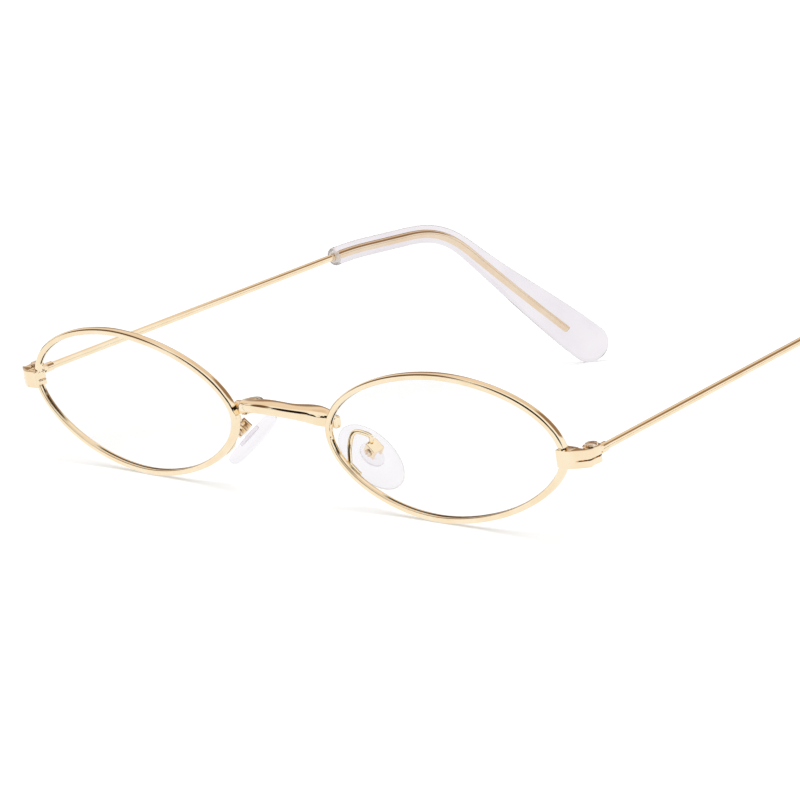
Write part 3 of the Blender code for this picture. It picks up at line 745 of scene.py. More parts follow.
class Workshop:
    """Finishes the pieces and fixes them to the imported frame."""

    shadowless = ("clear_lens", "clear_pad", "pad_core")

    def __init__(self, plan: FrontPlan, finishes: Finishes) -> None:
        """Find where the eyeglasses stand."""
        self.stance = stance(plan)
        self.finishes = finishes
        self.slots: Dict[str, str] = {
            part["node"]: part["material_slot"] for part in frame["record"]["subparts"]
        }

    def fix(self, item: bpy.types.Object, name: str, node: str, body: str) -> bpy.types.Object:
        """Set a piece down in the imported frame, in the place of its node.

        Args:
            item: The piece, in the frame of the front.
            name: Its name in the scene.
            node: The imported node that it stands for.
            body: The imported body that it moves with.

        Returns:
            The finished piece.
        """
        Bench.move(item, self.stance)
        bpy.ops.object.shade_smooth_by_angle(angle=SMOOTH_ANGLE)
        item.name = name
        item.data.name = name
        slot = self.slots[node]
        item.data.materials.clear()
        item.data.materials.append(self.finishes.for_slot(slot))
        item.visible_shadow = slot not in self.shadowless
        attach(item, body)
        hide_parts(node)
        LOG.info("%s: %d faces on %s", name, len(item.data.polygons), body)
        return item

    def fix_pair(
        self, item: bpy.types.Object, name: str, node: str, carrier: Carrier
    ) -> List[bpy.types.Object]:
        """Set down a left piece and its mirror image.

        Args:
            item: The left piece, in the frame of the front.
            name: Its name in the scene, without its side.
            node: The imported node's name, without its side.
            carrier: What the piece moves with.

        Returns:
            The left and the right piece.
        """
        Bench.only(item)
        bpy.ops.object.duplicate()
        copy = bpy.context.object
        copy.scale.x = -1
        Bench.settle()
        Bench.tidy(copy)
        pieces = []
        for piece, side in ((item, Side.LEFT), (copy, Side.RIGHT)):
            full = f"{side.value}_{name}"
            body = carrier.body(side)
            pieces.append(self.fix(piece, full, f"{side.value}_{node}", body))
        return pieces


@dataclass
class Screw:
    """A slotted screw, made head up with the head's underside at the origin."""

    head_radius: float
    head_height: float
    shank_radius: float
    length: float
    slot_width: float = 0.3 * MM
    slot_depth: float = 0.25 * MM
    chamfer: float = 0.14 * MM
    chamfer_steps: int = 4
    sides: int = 40
    square_on: float = 0.9

    def build(self) -> bpy.types.Object:
        """Turn the head, draw out the shank and saw the slot."""
        item = Bench.rod(Vector(), UP * self.head_height, self.head_radius, self.sides)
        Bench.pick_edges(item, lambda a, b: min(a.z, b.z) > self.head_height / 2)
        bpy.ops.mesh.bevel(offset=self.chamfer, segments=self.chamfer_steps, affect="EDGES")
        Bench.leave()
        Bench.pick(item, lambda centre, normal: normal.z < -self.square_on)
        bpy.ops.mesh.inset(thickness=self.head_radius - self.shank_radius)
        bpy.ops.mesh.extrude_region_move(
            TRANSFORM_OT_translate={"value": (0, 0, -self.length)}
        )
        Bench.leave()
        reach = 2 * self.head_radius
        slot = Bench.box(
            (-reach, -self.slot_width / 2, self.head_height - self.slot_depth),
            (reach, self.slot_width / 2, 2 * self.head_height),
        )
        Bench.combine(item, slot, Cut.REMOVE)
        Bench.tidy(item)
        return item


# Rims, lenses and locks


@dataclass
class Eyewire:
    """A rim, its lens and the two-part lock that closes the rim round it."""

    plan: FrontPlan
    lock_gap: float = 0.1 * MM
    screw_radius: float = 0.5 * MM
    screw_head_radius: float = 0.75 * MM
    screw_head_height: float = 0.5 * MM
    edge_rounding: float = 0.12 * MM
    rim_steps: int = 220
    lens_half: float = 0.5 * MM
    lens_bite: float = 0.02 * MM
    lens_sides: int = 160
    lens_span: int = 24
    search_reach: float = 0.6
    search_halvings: int = 40

    def angle_at(self, height: float) -> float:
        """The angle where the outer end of the rim crosses a height."""
        low, high = -self.search_reach, self.search_reach
        for _ in range(self.search_halvings):
            middle = (low + high) / 2
            if self.plan.lens.edge(middle, self.plan.rim_offset).z < height:
                low = middle
            else:
                high = middle
        return (low + high) / 2

    def rim(self) -> bpy.types.Object:
        """Draw the grooved wire round from one lock half to the other."""
        lens, offset, seam = self.plan.lens, self.plan.rim_offset, self.plan.fits.seam
        start = self.angle_at(self.plan.lock_high.z + seam)
        stop = 2 * math.pi + self.angle_at(self.plan.lock_low.z - seam)
        last = lens.edge(start, offset)
        normal = lens.normal(start)
        section = [
            last + out * normal + Vector((0, back, 0))
            for out, back in self.plan.section.outline()
        ]
        extrusion = Extrusion(section)
        for i in range(1, self.rim_steps + 1):
            angle = start + (stop - start) * i / self.rim_steps
            centre, new_normal = lens.edge(angle, offset), lens.normal(angle)
            sweep = math.atan2(
                normal.x * new_normal.z - normal.z * new_normal.x, normal.dot(new_normal)
            )
            extrusion.step(centre, centre - last, -sweep, "Y")
            last, normal = centre, new_normal
        item = extrusion.close()
        lens.curve(item)
        return item

    def lens(self) -> bpy.types.Object:
        """Cut the lens, with the bevelled edge that fills the groove."""
        shape, section = self.plan.lens, self.plan.section
        half, groove = self.lens_half, section.shown_groove
        inside = self.plan.rim_offset - section.thickness / 2 + self.lens_bite
        ring = []
        for i in range(self.lens_sides):
            point = shape.edge(2 * math.pi * i / self.lens_sides, inside)
            ring.append(Vector((point.x, -half, point.z)))
        bevel = 2 * (section.shown_groove + self.lens_bite)
        grow = (1 + bevel / shape.width, 1, 1 + bevel / shape.height)
        shrink = (1 / grow[0], 1, 1 / grow[2])
        extrusion = Extrusion(ring)
        for last, depth, stretch in (
            (-half, -groove, None),
            (-groove, 0.0, grow),
            (0.0, groove, shrink),
            (groove, half, None),
        ):
            extrusion.step(Vector((0, depth, 0)), Vector((0, depth - last, 0)), stretch=stretch)
        bpy.ops.mesh.fill_grid(span=self.lens_span)
        Bench.leave()
        item = extrusion.item
        Bench.pick_edges(item, lambda a, b: max(a.y, b.y) < -half + TOUCH)
        bpy.ops.mesh.fill_grid(span=self.lens_span)
        Bench.leave()
        Bench.tidy(item)
        shape.curve(item)
        return item

    def lock_half(self, low: float, high: float) -> bpy.types.Object:
        """One half of the lock, between two heights."""
        first, last = self.plan.lock_low, self.plan.lock_high
        inner = self.plan.rim_end.x - self.plan.section.thickness / 2
        item = Bench.box((inner, first.y, low), (last.x, last.y, high))
        Bench.round_edges(item, self.edge_rounding)
        return item

    def bore(self, item: bpy.types.Object, low: float, high: float, radius: float) -> None:
        """Drill the lock for its screw between two heights."""
        axis = (self.plan.lock_low + self.plan.lock_high) / 2
        start, end = Vector((axis.x, axis.y, low)), Vector((axis.x, axis.y, high))
        tool = Bench.rod(start, end, radius + self.plan.fits.running)
        Bench.combine(item, tool, Cut.REMOVE)

    def build(self, shop: Workshop) -> None:
        """Make the eyewires of both sides."""
        plan = self.plan
        shop.fix_pair(self.rim(), "rim_wire", "rim", Carrier.FRONT)
        shop.fix_pair(self.lens(), "clear_lens", "lens", Carrier.FRONT)
        bottom, top = plan.lock_low.z, plan.lock_high.z
        seat = bottom + self.screw_head_height + plan.fits.seam
        upper = self.lock_half(plan.end_rise + self.lock_gap / 2, top)
        self.bore(upper, bottom - MM, top + MM, self.screw_radius)
        shop.fix_pair(upper, "upper_lock", "upper_rim_lock", Carrier.FRONT)
        lower = self.lock_half(bottom, plan.end_rise - self.lock_gap / 2)
        self.bore(lower, bottom - MM, top + MM, self.screw_radius)
        self.bore(lower, bottom - MM, seat, self.screw_head_radius)
        shop.fix_pair(lower, "lower_lock", "lower_rim_lock", Carrier.FRONT)
        screw = Screw(
            self.screw_head_radius, self.screw_head_height, self.screw_radius, top - seat
        ).build()
        axis = (plan.lock_low + plan.lock_high) / 2
        place = Matrix.Translation((axis.x, axis.y, seat - plan.fits.seam))
        Bench.move(screw, place @ Matrix.Rotation(math.pi, 4, "X"))
        shop.fix_pair(screw, "lock_screw", "rim_lock_screw", Carrier.FRONT)


# End pieces and hinges


@dataclass
class Corner:
    """The end piece, both knuckles of the temple's hinge and the hinge screw."""

    plan: FrontPlan
    splay: float
    temple_rise: float
    wire_radius: float
    bend_across: float = 3.2 * MM
    bend_steps: int = 14
    bend_profile: float = 0.33
    bend_share: float = 0.999
    knuckle_gap: float = 0.26 * MM
    split_length: float = 2.3 * MM
    split_depth: float = 2.0 * MM
    screw_radius: float = 0.6 * MM
    screw_head_radius: float = 1.1 * MM
    screw_head_height: float = 0.4 * MM
    ferrule_radius: float = 0.85 * MM
    ferrule_length: float = 1.9 * MM
    ferrule_gap: float = 0.15 * MM
    socket_wall: float = 0.35 * MM
    neck_half_width: float = 0.85 * MM
    neck_rise: float = 0.75 * MM
    edge_rounding: float = 0.1 * MM

    def end_piece(self) -> bpy.types.Object:
        """Bend the plate back round the corner into the block that carries the hinge."""
        plan, seam = self.plan, self.plan.fits.seam
        low, high = plan.lock_low, plan.lock_high
        back = plan.hinge.y - plan.hinge_reach
        front = low.y - seam - plan.plate_thickness
        outer = plan.hinge.x + plan.knuckle_radius
        inner = low.x - plan.plate_overlap
        deep = front + self.bend_across
        bottom = plan.end_low + plan.end_trim
        item = Bench.box((inner, front, bottom), (outer, deep, plan.end_high))
        Bench.pick_edges(
            item,
            lambda a, b: min(a.x, b.x) > outer - TOUCH and max(a.y, b.y) < front + TOUCH,
        )
        bpy.ops.mesh.bevel(
            offset=self.bend_across * self.bend_share,
            segments=self.bend_steps,
            profile=self.bend_profile,
            affect="EDGES",
        )
        bpy.ops.mesh.select_all(action="SELECT")
        bpy.ops.transform.resize(
            value=(1, (back - front) / self.bend_across, 1), center_override=(0, front, 0)
        )
        Bench.leave()
        notch = Bench.box(
            (inner - MM, low.y - seam, plan.end_low - MM),
            (high.x + plan.block_gap, back + MM, plan.end_high + MM),
        )
        Bench.combine(item, notch, Cut.REMOVE)
        half = self.knuckle_gap / 2
        split = Bench.box(
            (outer - self.split_depth, back - self.split_length, plan.end_rise - half),
            (outer + MM, back + MM, plan.end_rise + half),
        )
        Bench.combine(item, split, Cut.REMOVE)
        Bench.tidy(item)
        Bench.round_edges(item, self.edge_rounding)
        return item

    def drill(self, item: bpy.types.Object) -> None:
        """Drill a knuckle for the hinge screw."""
        hinge, reach = self.plan.hinge, UP * 2 * self.plan.end_height
        tool = Bench.rod(hinge - reach, hinge + reach, self.screw_radius + self.plan.fits.running)
        Bench.combine(item, tool, Cut.REMOVE)

    def front_knuckle(self) -> bpy.types.Object:
        """The lower knuckle, with its root against the end piece."""
        plan, hinge = self.plan, self.plan.hinge
        low = plan.end_low + plan.end_trim + plan.knuckle_inset
        high = plan.end_rise - self.knuckle_gap / 2
        half = plan.knuckle_radius - plan.knuckle_inset
        item = Bench.rod(hinge + UP * low, hinge + UP * high, plan.knuckle_radius)
        root = Bench.box(
            (hinge.x - half, hinge.y - plan.hinge_reach + plan.fits.seam, low),
            (hinge.x + half, hinge.y, high),
        )
        Bench.combine(item, root, Cut.ADD)
        Bench.round_edges(item, self.edge_rounding)
        self.drill(item)
        Bench.tidy(item)
        return item

    def temple_knuckle(self) -> bpy.types.Object:
        """The upper knuckle: a square toe, a neck and the ferrule for the wire."""
        plan, hinge = self.plan, self.plan.hinge
        low = plan.end_rise + self.knuckle_gap / 2
        high = plan.end_high - plan.knuckle_inset
        half = plan.knuckle_radius - plan.knuckle_inset
        item = Bench.rod(hinge + UP * low, hinge + UP * high, plan.knuckle_radius)
        toe = Bench.box(
            (hinge.x, hinge.y - plan.hinge_reach + plan.fits.running, low),
            (hinge.x + half, hinge.y, high),
        )
        Bench.combine(item, toe, Cut.ADD)
        start = plan.knuckle_radius + self.ferrule_gap
        neck = Bench.box(
            (-self.neck_half_width, plan.knuckle_radius / 2, low),
            (self.neck_half_width, start + self.socket_wall, self.temple_rise + self.neck_rise),
        )
        turn = Matrix.Rotation(self.splay, 4, "Z")
        Bench.move(neck, Matrix.Translation(hinge) @ turn)
        Bench.combine(item, neck, Cut.ADD)
        along = turn @ Vector((0, 1, 0))
        axis = hinge + UP * self.temple_rise
        end = axis + along * (start + self.ferrule_length)
        ferrule = Bench.rod(axis + along * start, end, self.ferrule_radius)
        Bench.combine(item, ferrule, Cut.ADD)
        Bench.round_edges(item, self.edge_rounding)
        socket = Bench.rod(
            axis + along * (start + self.socket_wall),
            end + along * self.ferrule_length,
            self.wire_radius + plan.fits.seam,
        )
        Bench.combine(item, socket, Cut.REMOVE)
        self.drill(item)
        Bench.tidy(item)
        return item

    def build(self, shop: Workshop) -> None:
        """Make the corners of both sides."""
        plan = self.plan
        shop.fix_pair(self.end_piece(), "end_plate", "end_piece", Carrier.FRONT)
        shop.fix_pair(self.front_knuckle(), "front_knuckle", "front_hinge", Carrier.FRONT)
        shop.fix_pair(self.temple_knuckle(), "temple_knuckle", "temple_hinge", Carrier.TEMPLE)
        seat = plan.end_high - plan.knuckle_inset + plan.fits.seam
        screw = Screw(
            self.screw_head_radius,
            self.screw_head_height,
            self.screw_radius,
            seat - plan.end_low - plan.end_trim - plan.knuckle_inset,
        ).build()
        Bench.move(screw, Matrix.Translation(plan.hinge + UP * seat))
        shop.fix_pair(screw, "hinge_pin_screw", "hinge_screw", Carrier.FRONT)


# Temples


@dataclass
class Temple:
    """The temple's round wire and the clear sleeve over its ear bend."""

    plan: FrontPlan
    start: float
    rise: float = 0.99 * MM
    splay: float = math.radians(3.5)
    wire_radius: float = 0.65 * MM
    sleeve_start: float = 73.8 * MM
    sleeve_droop: float = math.radians(6)
    droop_length: float = 10 * MM
    bend_start: float = 92.5 * MM
    bend_length: float = 19.5 * MM
    ear_angle: float = math.radians(48)
    core_tail: float = 27.2 * MM
    tip_tail: float = 37.1 * MM
    inward: float = 7 * MM
    inward_span: float = 40 * MM
    sleeve_diameter: float = 3.5 * MM
    sleeve_grip: float = 0.015 * MM
    lip_rounding: float = 0.35 * MM
    paddle_width: float = 7.6 * MM
    paddle_lift: float = 0.45 * MM
    paddle_thickness: float = 2.4 * MM
    paddle_length: float = 44 * MM
    paddle_nose: float = 4.4 * MM
    nose_power: float = 2.15
    nose_flatness: float = 0.7
    path_step: float = 0.25 * MM
    ring_gap: float = 0.75 * MM
    nose_steps: int = 24
    wire_sides: int = 24
    sleeve_sides: int = 36

    def slope(self, mark: float) -> float:
        """How far the wire points down at a distance from the hinge."""
        droop = self.sleeve_droop * eased((mark - self.sleeve_start) / self.droop_length)
        bend = eased((mark - self.bend_start) / self.bend_length)
        return droop + (self.ear_angle - self.sleeve_droop) * bend

    def path(self, marks: Sequence[float]) -> List[Vector]:
        """Points of the temple's upright plane at a row of distances from the hinge."""
        points = []
        along, height, last = self.start, self.rise, self.start
        for mark in marks:
            count = max(int(abs(mark - last) / self.path_step), 1)
            for i in range(count):
                slope = self.slope(last + (mark - last) * (i + 0.5) / count)
                along += (mark - last) / count * math.cos(slope)
                height -= (mark - last) / count * math.sin(slope)
            last = mark
            points.append(Vector((0, along, height)))
        return points

    def marks(self, first: float, last: float) -> List[float]:
        """Even distances from the hinge between two of them."""
        count = max(round((last - first) / self.ring_gap), 2)
        return [first + (last - first) * i / count for i in range(count + 1)]

    def bow(self, item: bpy.types.Object) -> bpy.types.Object:
        """Press the ear end inwards, splay the temple and hang it on its hinge."""
        for vertex in item.data.vertices:
            past = max(vertex.co.y - self.bend_start, 0)
            vertex.co.x -= self.inward * (past / self.inward_span) ** 2
        turn = Matrix.Rotation(self.splay, 4, "Z")
        Bench.move(item, Matrix.Translation(self.plan.hinge) @ turn)
        return item

    def ring(self, centre: Vector, slope: float, radius: float, sides: int) -> Ring:
        """A round ring square to the wire."""
        upright = Vector((0, math.sin(slope), math.cos(slope)))
        return [
            centre + Vector((x, 0, 0)) + upright * z for x, z in oval(radius, radius, sides)
        ]

    def wire(self) -> bpy.types.Object:
        """Draw the wire, straight and then down behind the ear."""
        core_end = self.bend_start + self.bend_length + self.core_tail
        marks = [self.start] + self.marks(self.sleeve_start, core_end)
        points = self.path(marks)
        slopes = [self.slope(mark) for mark in marks]
        extrusion = Extrusion(self.ring(points[0], 0.0, self.wire_radius, self.wire_sides))
        for i in range(1, len(points)):
            turn = slopes[i - 1] - slopes[i]
            extrusion.step(points[i], points[i] - points[i - 1], turn, "X")
        item = extrusion.close()
        Bench.round_edges(item, self.wire_radius / 3)
        return self.bow(item)

    def sizes(self, mark: float, end: float) -> Tuple[float, float, float]:
        """Half width, half thickness and lift of the sleeve at a distance from the hinge."""
        round_half = self.sleeve_diameter / 2
        blend = eased(
            (mark - (end - self.paddle_length)) / (self.paddle_length - self.paddle_nose)
        )
        width = round_half + (self.paddle_width / 2 - round_half) * blend
        thickness = round_half + (self.paddle_thickness / 2 - round_half) * blend
        nose = max(mark - (end - self.paddle_nose), 0) / self.paddle_nose
        rounding = max(1 - nose ** self.nose_power, 0.0) ** (1 / self.nose_power)
        thickness *= rounding ** self.nose_flatness
        return width * rounding, thickness, self.paddle_lift * blend

    def sleeve_stations(self) -> List[Tuple[float, float, float, float]]:
        """Rings of the sleeve: distance from the hinge, half width, half thickness, lift."""
        bore = self.wire_radius - self.sleeve_grip
        core_end = self.bend_start + self.bend_length + self.core_tail - self.sleeve_grip
        end = self.bend_start + self.bend_length + self.tip_tail
        lip = self.lip_rounding
        stations = []
        for mark in reversed(self.marks(self.sleeve_start + lip, core_end)):
            stations.append((mark, bore, bore, 0.0))
        radius = self.sleeve_diameter / 2
        stations.append((self.sleeve_start, bore + lip / 2, bore + lip / 2, 0.0))
        stations.append((self.sleeve_start, radius - lip, radius - lip, 0.0))
        stations.append((self.sleeve_start + lip / 3, radius - lip / 3, radius - lip / 3, 0.0))
        for mark in self.marks(self.sleeve_start + lip, end - self.paddle_nose):
            stations.append((mark, *self.sizes(mark, end)))
        for i in range(1, self.nose_steps):
            share = math.sin(math.pi / 2 * i / self.nose_steps) ** (2 / self.nose_power)
            mark = end - self.paddle_nose * (1 - share)
            stations.append((mark, *self.sizes(mark, end)))
        return stations

    def sleeve(self) -> bpy.types.Object:
        """Mould the sleeve: up the bore to its mouth, and back down to the paddle's end."""
        stations = self.sleeve_stations()
        order = sorted(range(len(stations)), key=lambda i: stations[i][0])
        ordered = self.path([stations[i][0] for i in order])
        points = [Vector()] * len(stations)
        for i, point in zip(order, ordered):
            points[i] = point
        slopes = [self.slope(station[0]) for station in stations]
        centres = []
        for point, slope, (_, _, _, lift) in zip(points, slopes, stations):
            centres.append(point + lift * Vector((0, math.sin(slope), math.cos(slope))))
        radius = stations[0][1]
        extrusion = Extrusion(self.ring(centres[0], slopes[0], radius, self.sleeve_sides))
        for i in range(1, len(stations)):
            wide = stations[i][1] / stations[i - 1][1]
            thick = stations[i][2] / stations[i - 1][2]
            extrusion.step(
                centres[i],
                centres[i] - centres[i - 1],
                slopes[i - 1] - slopes[i],
                "X",
                (thick, wide, wide),
            )
        return self.bow(extrusion.close())

    def build(self, shop: Workshop) -> None:
        """Make the temples of both sides."""
        shop.fix_pair(self.wire(), "temple_rod", "temple_wire", Carrier.TEMPLE)
        for piece in shop.fix_pair(self.sleeve(), "ear_sleeve", "temple_tip", Carrier.TEMPLE):
            self.frost_mouth(piece, shop)

    def frost_mouth(self, piece: bpy.types.Object, shop: Workshop) -> None:
        """Give the cut end of the sleeve, round the wire, its frosted finish.

        Args:
            piece: The sleeve in its place.
            shop: Where the finish is kept.
        """
        piece.data.materials.append(shop.finishes.cut_end)
        hang = shop.stance.inverted()
        marks = [(hang @ face.center).y for face in piece.data.polygons]
        edge = min(marks) + self.lip_rounding
        for face, mark in zip(piece.data.polygons, marks):
            face.material_index = int(mark < edge)


# Bridge


@dataclass
class Bridge:
    """The saddle bar between the rims."""

    plan: FrontPlan
    rise: float = 1.15 * MM
    arch: float = 2.5 * MM
    forward: float = 4.0 * MM
    crown_power: float = 1.2
    depth: float = 3.3 * MM
    height: float = 2.2 * MM
    swell_rate: float = 2.0
    flare: float = 2.2 * MM
    flare_height: float = 0.9 * MM
    flare_drop: float = 0.1 * MM
    flare_from_rim: float = 2.7 * MM
    flare_spread: float = 2.0 * MM
    foot_depth: float = 1.5 * MM
    foot_length: float = 1.6 * MM
    foot_rounding: float = 0.25 * MM
    yaw_reach: float = 0.05 * MM
    squareness: float = 3.0
    smoothing: float = 1.5 * MM
    smoothing_steps: int = 10
    steps: int = 72
    sides: int = 36

    def station(self, across: float) -> Tuple[Vector, float, float]:
        """Centre, height and depth of the bar, smoothed over a short way along it."""
        count = self.smoothing_steps
        offsets = [self.smoothing * (2 * i / count - 1) for i in range(count + 1)]
        samples = [self.bare_station(across + offset) for offset in offsets]
        centre = sum((sample[0] for sample in samples), Vector()) / len(samples)
        height = sum(sample[1] for sample in samples) / len(samples)
        depth = sum(sample[2] for sample in samples) / len(samples)
        return centre, height, depth

    def bare_station(self, across: float) -> Tuple[Vector, float, float]:
        """Centre, height and depth of the bar at a distance from its middle."""
        rim = self.plan.nasal_rim
        span = rim.x - self.plan.section.thickness / 2
        seat = rim.y + self.plan.section.depth / 2 + self.plan.fits.seam
        crown = max(1 - (across / span) ** 2, 0) ** self.crown_power
        from_flare = (abs(across) - span + self.flare_from_rim) / self.flare_spread
        flare = math.exp(-from_flare * from_flare)
        back = seat + self.foot_depth / 2 - self.forward * crown + self.flare / 2 * flare
        up = self.rise + self.arch * crown - self.flare_drop * flare
        swell = min(self.swell_rate * crown, 1)
        depth = self.foot_depth + (self.depth - self.foot_depth) * swell + self.flare * flare
        return Vector((across, back, up)), self.height + self.flare_height * flare, depth

    def yaw(self, across: float) -> float:
        """How far the bar turns back at a distance from its middle."""
        ahead = self.station(across + self.yaw_reach)[0]
        behind = self.station(across - self.yaw_reach)[0]
        return math.atan2(ahead.y - behind.y, ahead.x - behind.x)

    def build(self, shop: Workshop) -> None:
        """Draw the bar from the right rim to the left one."""
        rim = self.plan.nasal_rim
        foot = rim.x - self.plan.section.thickness / 2 + self.foot_length
        places = [foot * (2 * i / self.steps - 1) for i in range(self.steps + 1)]
        stations = [self.station(across) for across in places]
        yaws = [self.yaw(across) for across in places]
        centre, height, depth = stations[0]
        level = Vector((-math.sin(yaws[0]), math.cos(yaws[0]), 0))
        section = oval(depth / 2, height / 2, self.sides, self.squareness)
        extrusion = Extrusion([centre + level * back + UP * up for back, up in section])
        for i in range(1, len(stations)):
            centre, height, depth = stations[i]
            last, last_height, last_depth = stations[i - 1]
            deep, tall = depth / last_depth, height / last_height
            extrusion.step(centre, centre - last, yaws[i] - yaws[i - 1], "Z", (deep, deep, tall))
        item = extrusion.close()
        Bench.round_edges(item, self.foot_rounding)
        shop.fix(item, "saddle_bridge", "bridge", Carrier.FRONT.value)


# Nose pads


@dataclass
class NosePad:
    """A clear pad on its core, the box and screw that hold it and the arm to the rim."""

    plan: FrontPlan
    length: float = 14.4 * MM
    width: float = 8.4 * MM
    thickness: float = 2.5 * MM
    out: float = 2.9 * MM
    back: float = 6.5 * MM
    drop: float = 6.6 * MM
    frontal_angle: float = math.radians(50)
    splay_angle: float = math.radians(20)
    pivot: float = 2.6 * MM
    core_length: float = 5.0 * MM
    core_width: float = 3.4 * MM
    core_thickness: float = 0.6 * MM
    core_bite: float = 0.01 * MM
    eyelet_radius: float = 0.75 * MM
    eyelet_width: float = 1.2 * MM
    stem_width: float = 0.9 * MM
    box_wall: float = 0.45 * MM
    box_length: float = 2.4 * MM
    screw_radius: float = 0.4 * MM
    drill_sides: int = 32
    screw_head_radius: float = 0.65 * MM
    screw_head_height: float = 0.4 * MM
    arm_radius: float = 0.42 * MM
    arm_foot_angle: float = math.radians(219)
    arm_leave_angle: float = math.radians(210)
    arm_foot_steps: int = 8
    arm_climb: Tuple[float, float, float] = (-0.5 * MM, 1.0 * MM, 2.8 * MM)
    arm_crest: Tuple[float, float, float] = (0.0 * MM, 2.1 * MM, 5.0 * MM)
    arm_drop: float = 1.2 * MM
    arm_end: float = 0.9 * MM
    arm_steps: int = 12
    sides: int = 64
    edge_rounding: float = 0.08 * MM
    profile: Tuple[Tuple[float, float], ...] = field(
        default=(
            (0.10, 0.000),
            (0.30, 0.012),
            (0.50, 0.035),
            (0.66, 0.075),
            (0.78, 0.130),
            (0.87, 0.200),
            (0.935, 0.300),
            (0.975, 0.410),
            (0.995, 0.530),
            (1.000, 0.640),
            (0.990, 0.760),
            (0.962, 0.870),
            (0.915, 0.950),
            (0.850, 0.990),
            (0.770, 1.000),
        )
    )

    @property
    def frame(self) -> Matrix:
        """Place of the pivot: X along the screw, Y up the pad, Z out of its back."""
        rim = self.plan.nasal_rim
        centre = Vector((rim.x + self.out, self.back, -self.drop))
        up = Vector((-math.sin(self.frontal_angle), 0, math.cos(self.frontal_angle)))
        screw = Vector((0, math.cos(self.splay_angle), math.sin(self.splay_angle)))
        screw = (screw - up * screw.dot(up)).normalized()
        away = screw.cross(up)
        turn = Matrix((screw, up, away)).transposed().to_4x4()
        return Matrix.Translation(centre + away * self.pivot) @ turn

    @property
    def back_face(self) -> float:
        """Height of the pad's back in the pivot's frame."""
        return self.thickness / 2 - self.pivot

    def oval_stack(self, rings: Sequence[Tuple[float, float, float]]) -> bpy.types.Object:
        """A solid of stacked ovals.

        Args:
            rings: Half width, half length and height of each oval.

        Returns:
            The closed solid.
        """
        half_width, half_length, last = rings[0]
        section = [Vector((x, y, last)) for x, y in oval(half_width, half_length, self.sides)]
        extrusion = Extrusion(section)
        for wide, long, height in rings[1:]:
            extrusion.step(
                Vector((0, 0, height)),
                Vector((0, 0, height - last)),
                stretch=(wide / half_width, long / half_length, 1),
            )
            half_width, half_length, last = wide, long, height
        return extrusion.close()

    def pad(self) -> bpy.types.Object:
        """Mould the crowned pad, with the pocket in its back for the core."""
        front = self.back_face - self.thickness
        rings = []
        for share, deep in self.profile:
            height = front + deep * self.thickness
            rings.append((self.width / 2 * share, self.length / 2 * share, height))
        pocket_width = self.core_width / 2 - self.core_bite
        pocket_length = self.core_length / 2 - self.core_bite
        rings.append((pocket_width, pocket_length, self.back_face))
        floor = self.back_face - self.core_thickness + self.core_bite
        rings.append((pocket_width, pocket_length, floor))
        return self.oval_stack(rings)

    def core(self) -> bpy.types.Object:
        """The stiff core: an oval plate, a stem and the eyelet on the screw."""
        bottom = self.back_face - self.core_thickness
        half_width, half_length = self.core_width / 2, self.core_length / 2
        item = self.oval_stack(
            [(half_width, half_length, bottom), (half_width, half_length, self.back_face)]
        )
        half = self.eyelet_width / 2
        stem = Bench.box(
            (-half, -self.stem_width / 2, self.back_face - self.core_thickness / 2),
            (half, self.stem_width / 2, 0),
        )
        Bench.combine(item, stem, Cut.ADD)
        eyelet = Bench.rod(Vector((-half, 0, 0)), Vector((half, 0, 0)), self.eyelet_radius)
        Bench.combine(item, eyelet, Cut.ADD)
        self.drill(item)
        Bench.tidy(item)
        return item

    def drill(self, item: bpy.types.Object) -> None:
        """Drill a piece for the pad's screw."""
        reach = Vector((self.box_length, 0, 0))
        bore = self.screw_radius + self.plan.fits.running
        tool = Bench.rod(-reach, reach, bore, self.drill_sides)
        Bench.combine(item, tool, Cut.REMOVE)

    @property
    def box_half(self) -> float:
        """Half of the box's size along the screw."""
        return self.eyelet_width / 2 + self.plan.fits.running + self.box_wall

    @property
    def box_top(self) -> float:
        """Height of the box's roof in the pivot's frame."""
        return self.eyelet_radius + 2 * self.plan.fits.running + self.box_wall

    def box(self) -> bpy.types.Object:
        """The small box, open towards the pad."""
        half, outer = self.box_length / 2, self.box_half
        inner = outer - self.box_wall
        item = Bench.box((-outer, -half, -self.eyelet_radius), (outer, half, self.box_top))
        channel = Bench.box(
            (-inner, -2 * half, -2 * self.eyelet_radius),
            (inner, 2 * half, self.box_top - self.box_wall),
        )
        Bench.combine(item, channel, Cut.REMOVE)
        Bench.round_edges(item, self.edge_rounding)
        self.drill(item)
        Bench.tidy(item)
        return item

    def screw(self) -> bpy.types.Object:
        """The screw across the box, its head on the front wall."""
        seam = self.plan.fits.seam
        item = Screw(
            self.screw_head_radius,
            self.screw_head_height,
            self.screw_radius,
            2 * self.box_half + seam,
        ).build()
        place = Matrix.Translation((-self.box_half - seam, 0, 0))
        Bench.move(item, place @ Matrix.Rotation(-math.pi / 2, 4, "Y"))
        return item

    def arm(self) -> bpy.types.Object:
        """Bend the arm: along the back of the rim, up over its loop and on to the box."""
        lens, seam = self.plan.lens, self.plan.fits.seam
        depth = Vector((0, self.plan.section.depth / 2 + seam + self.arm_radius, 0))
        foot = []
        for i in range(self.arm_foot_steps + 1):
            share = i / self.arm_foot_steps
            angle = self.arm_foot_angle + (self.arm_leave_angle - self.arm_foot_angle) * share
            foot.append(lens.place(lens.edge(angle, self.plan.rim_offset) + depth))
        end = self.frame @ Vector((0, self.arm_end, self.box_top + seam))
        away = self.frame.to_3x3() @ Vector((0, 1, 1)).normalized()
        leave = foot[-1]
        knots = [
            leave,
            leave + Vector(self.arm_climb),
            leave + Vector(self.arm_crest),
            end + away * self.arm_drop,
            end,
        ]
        return bent_wire(foot[:-1] + self.through(knots), self.arm_radius)

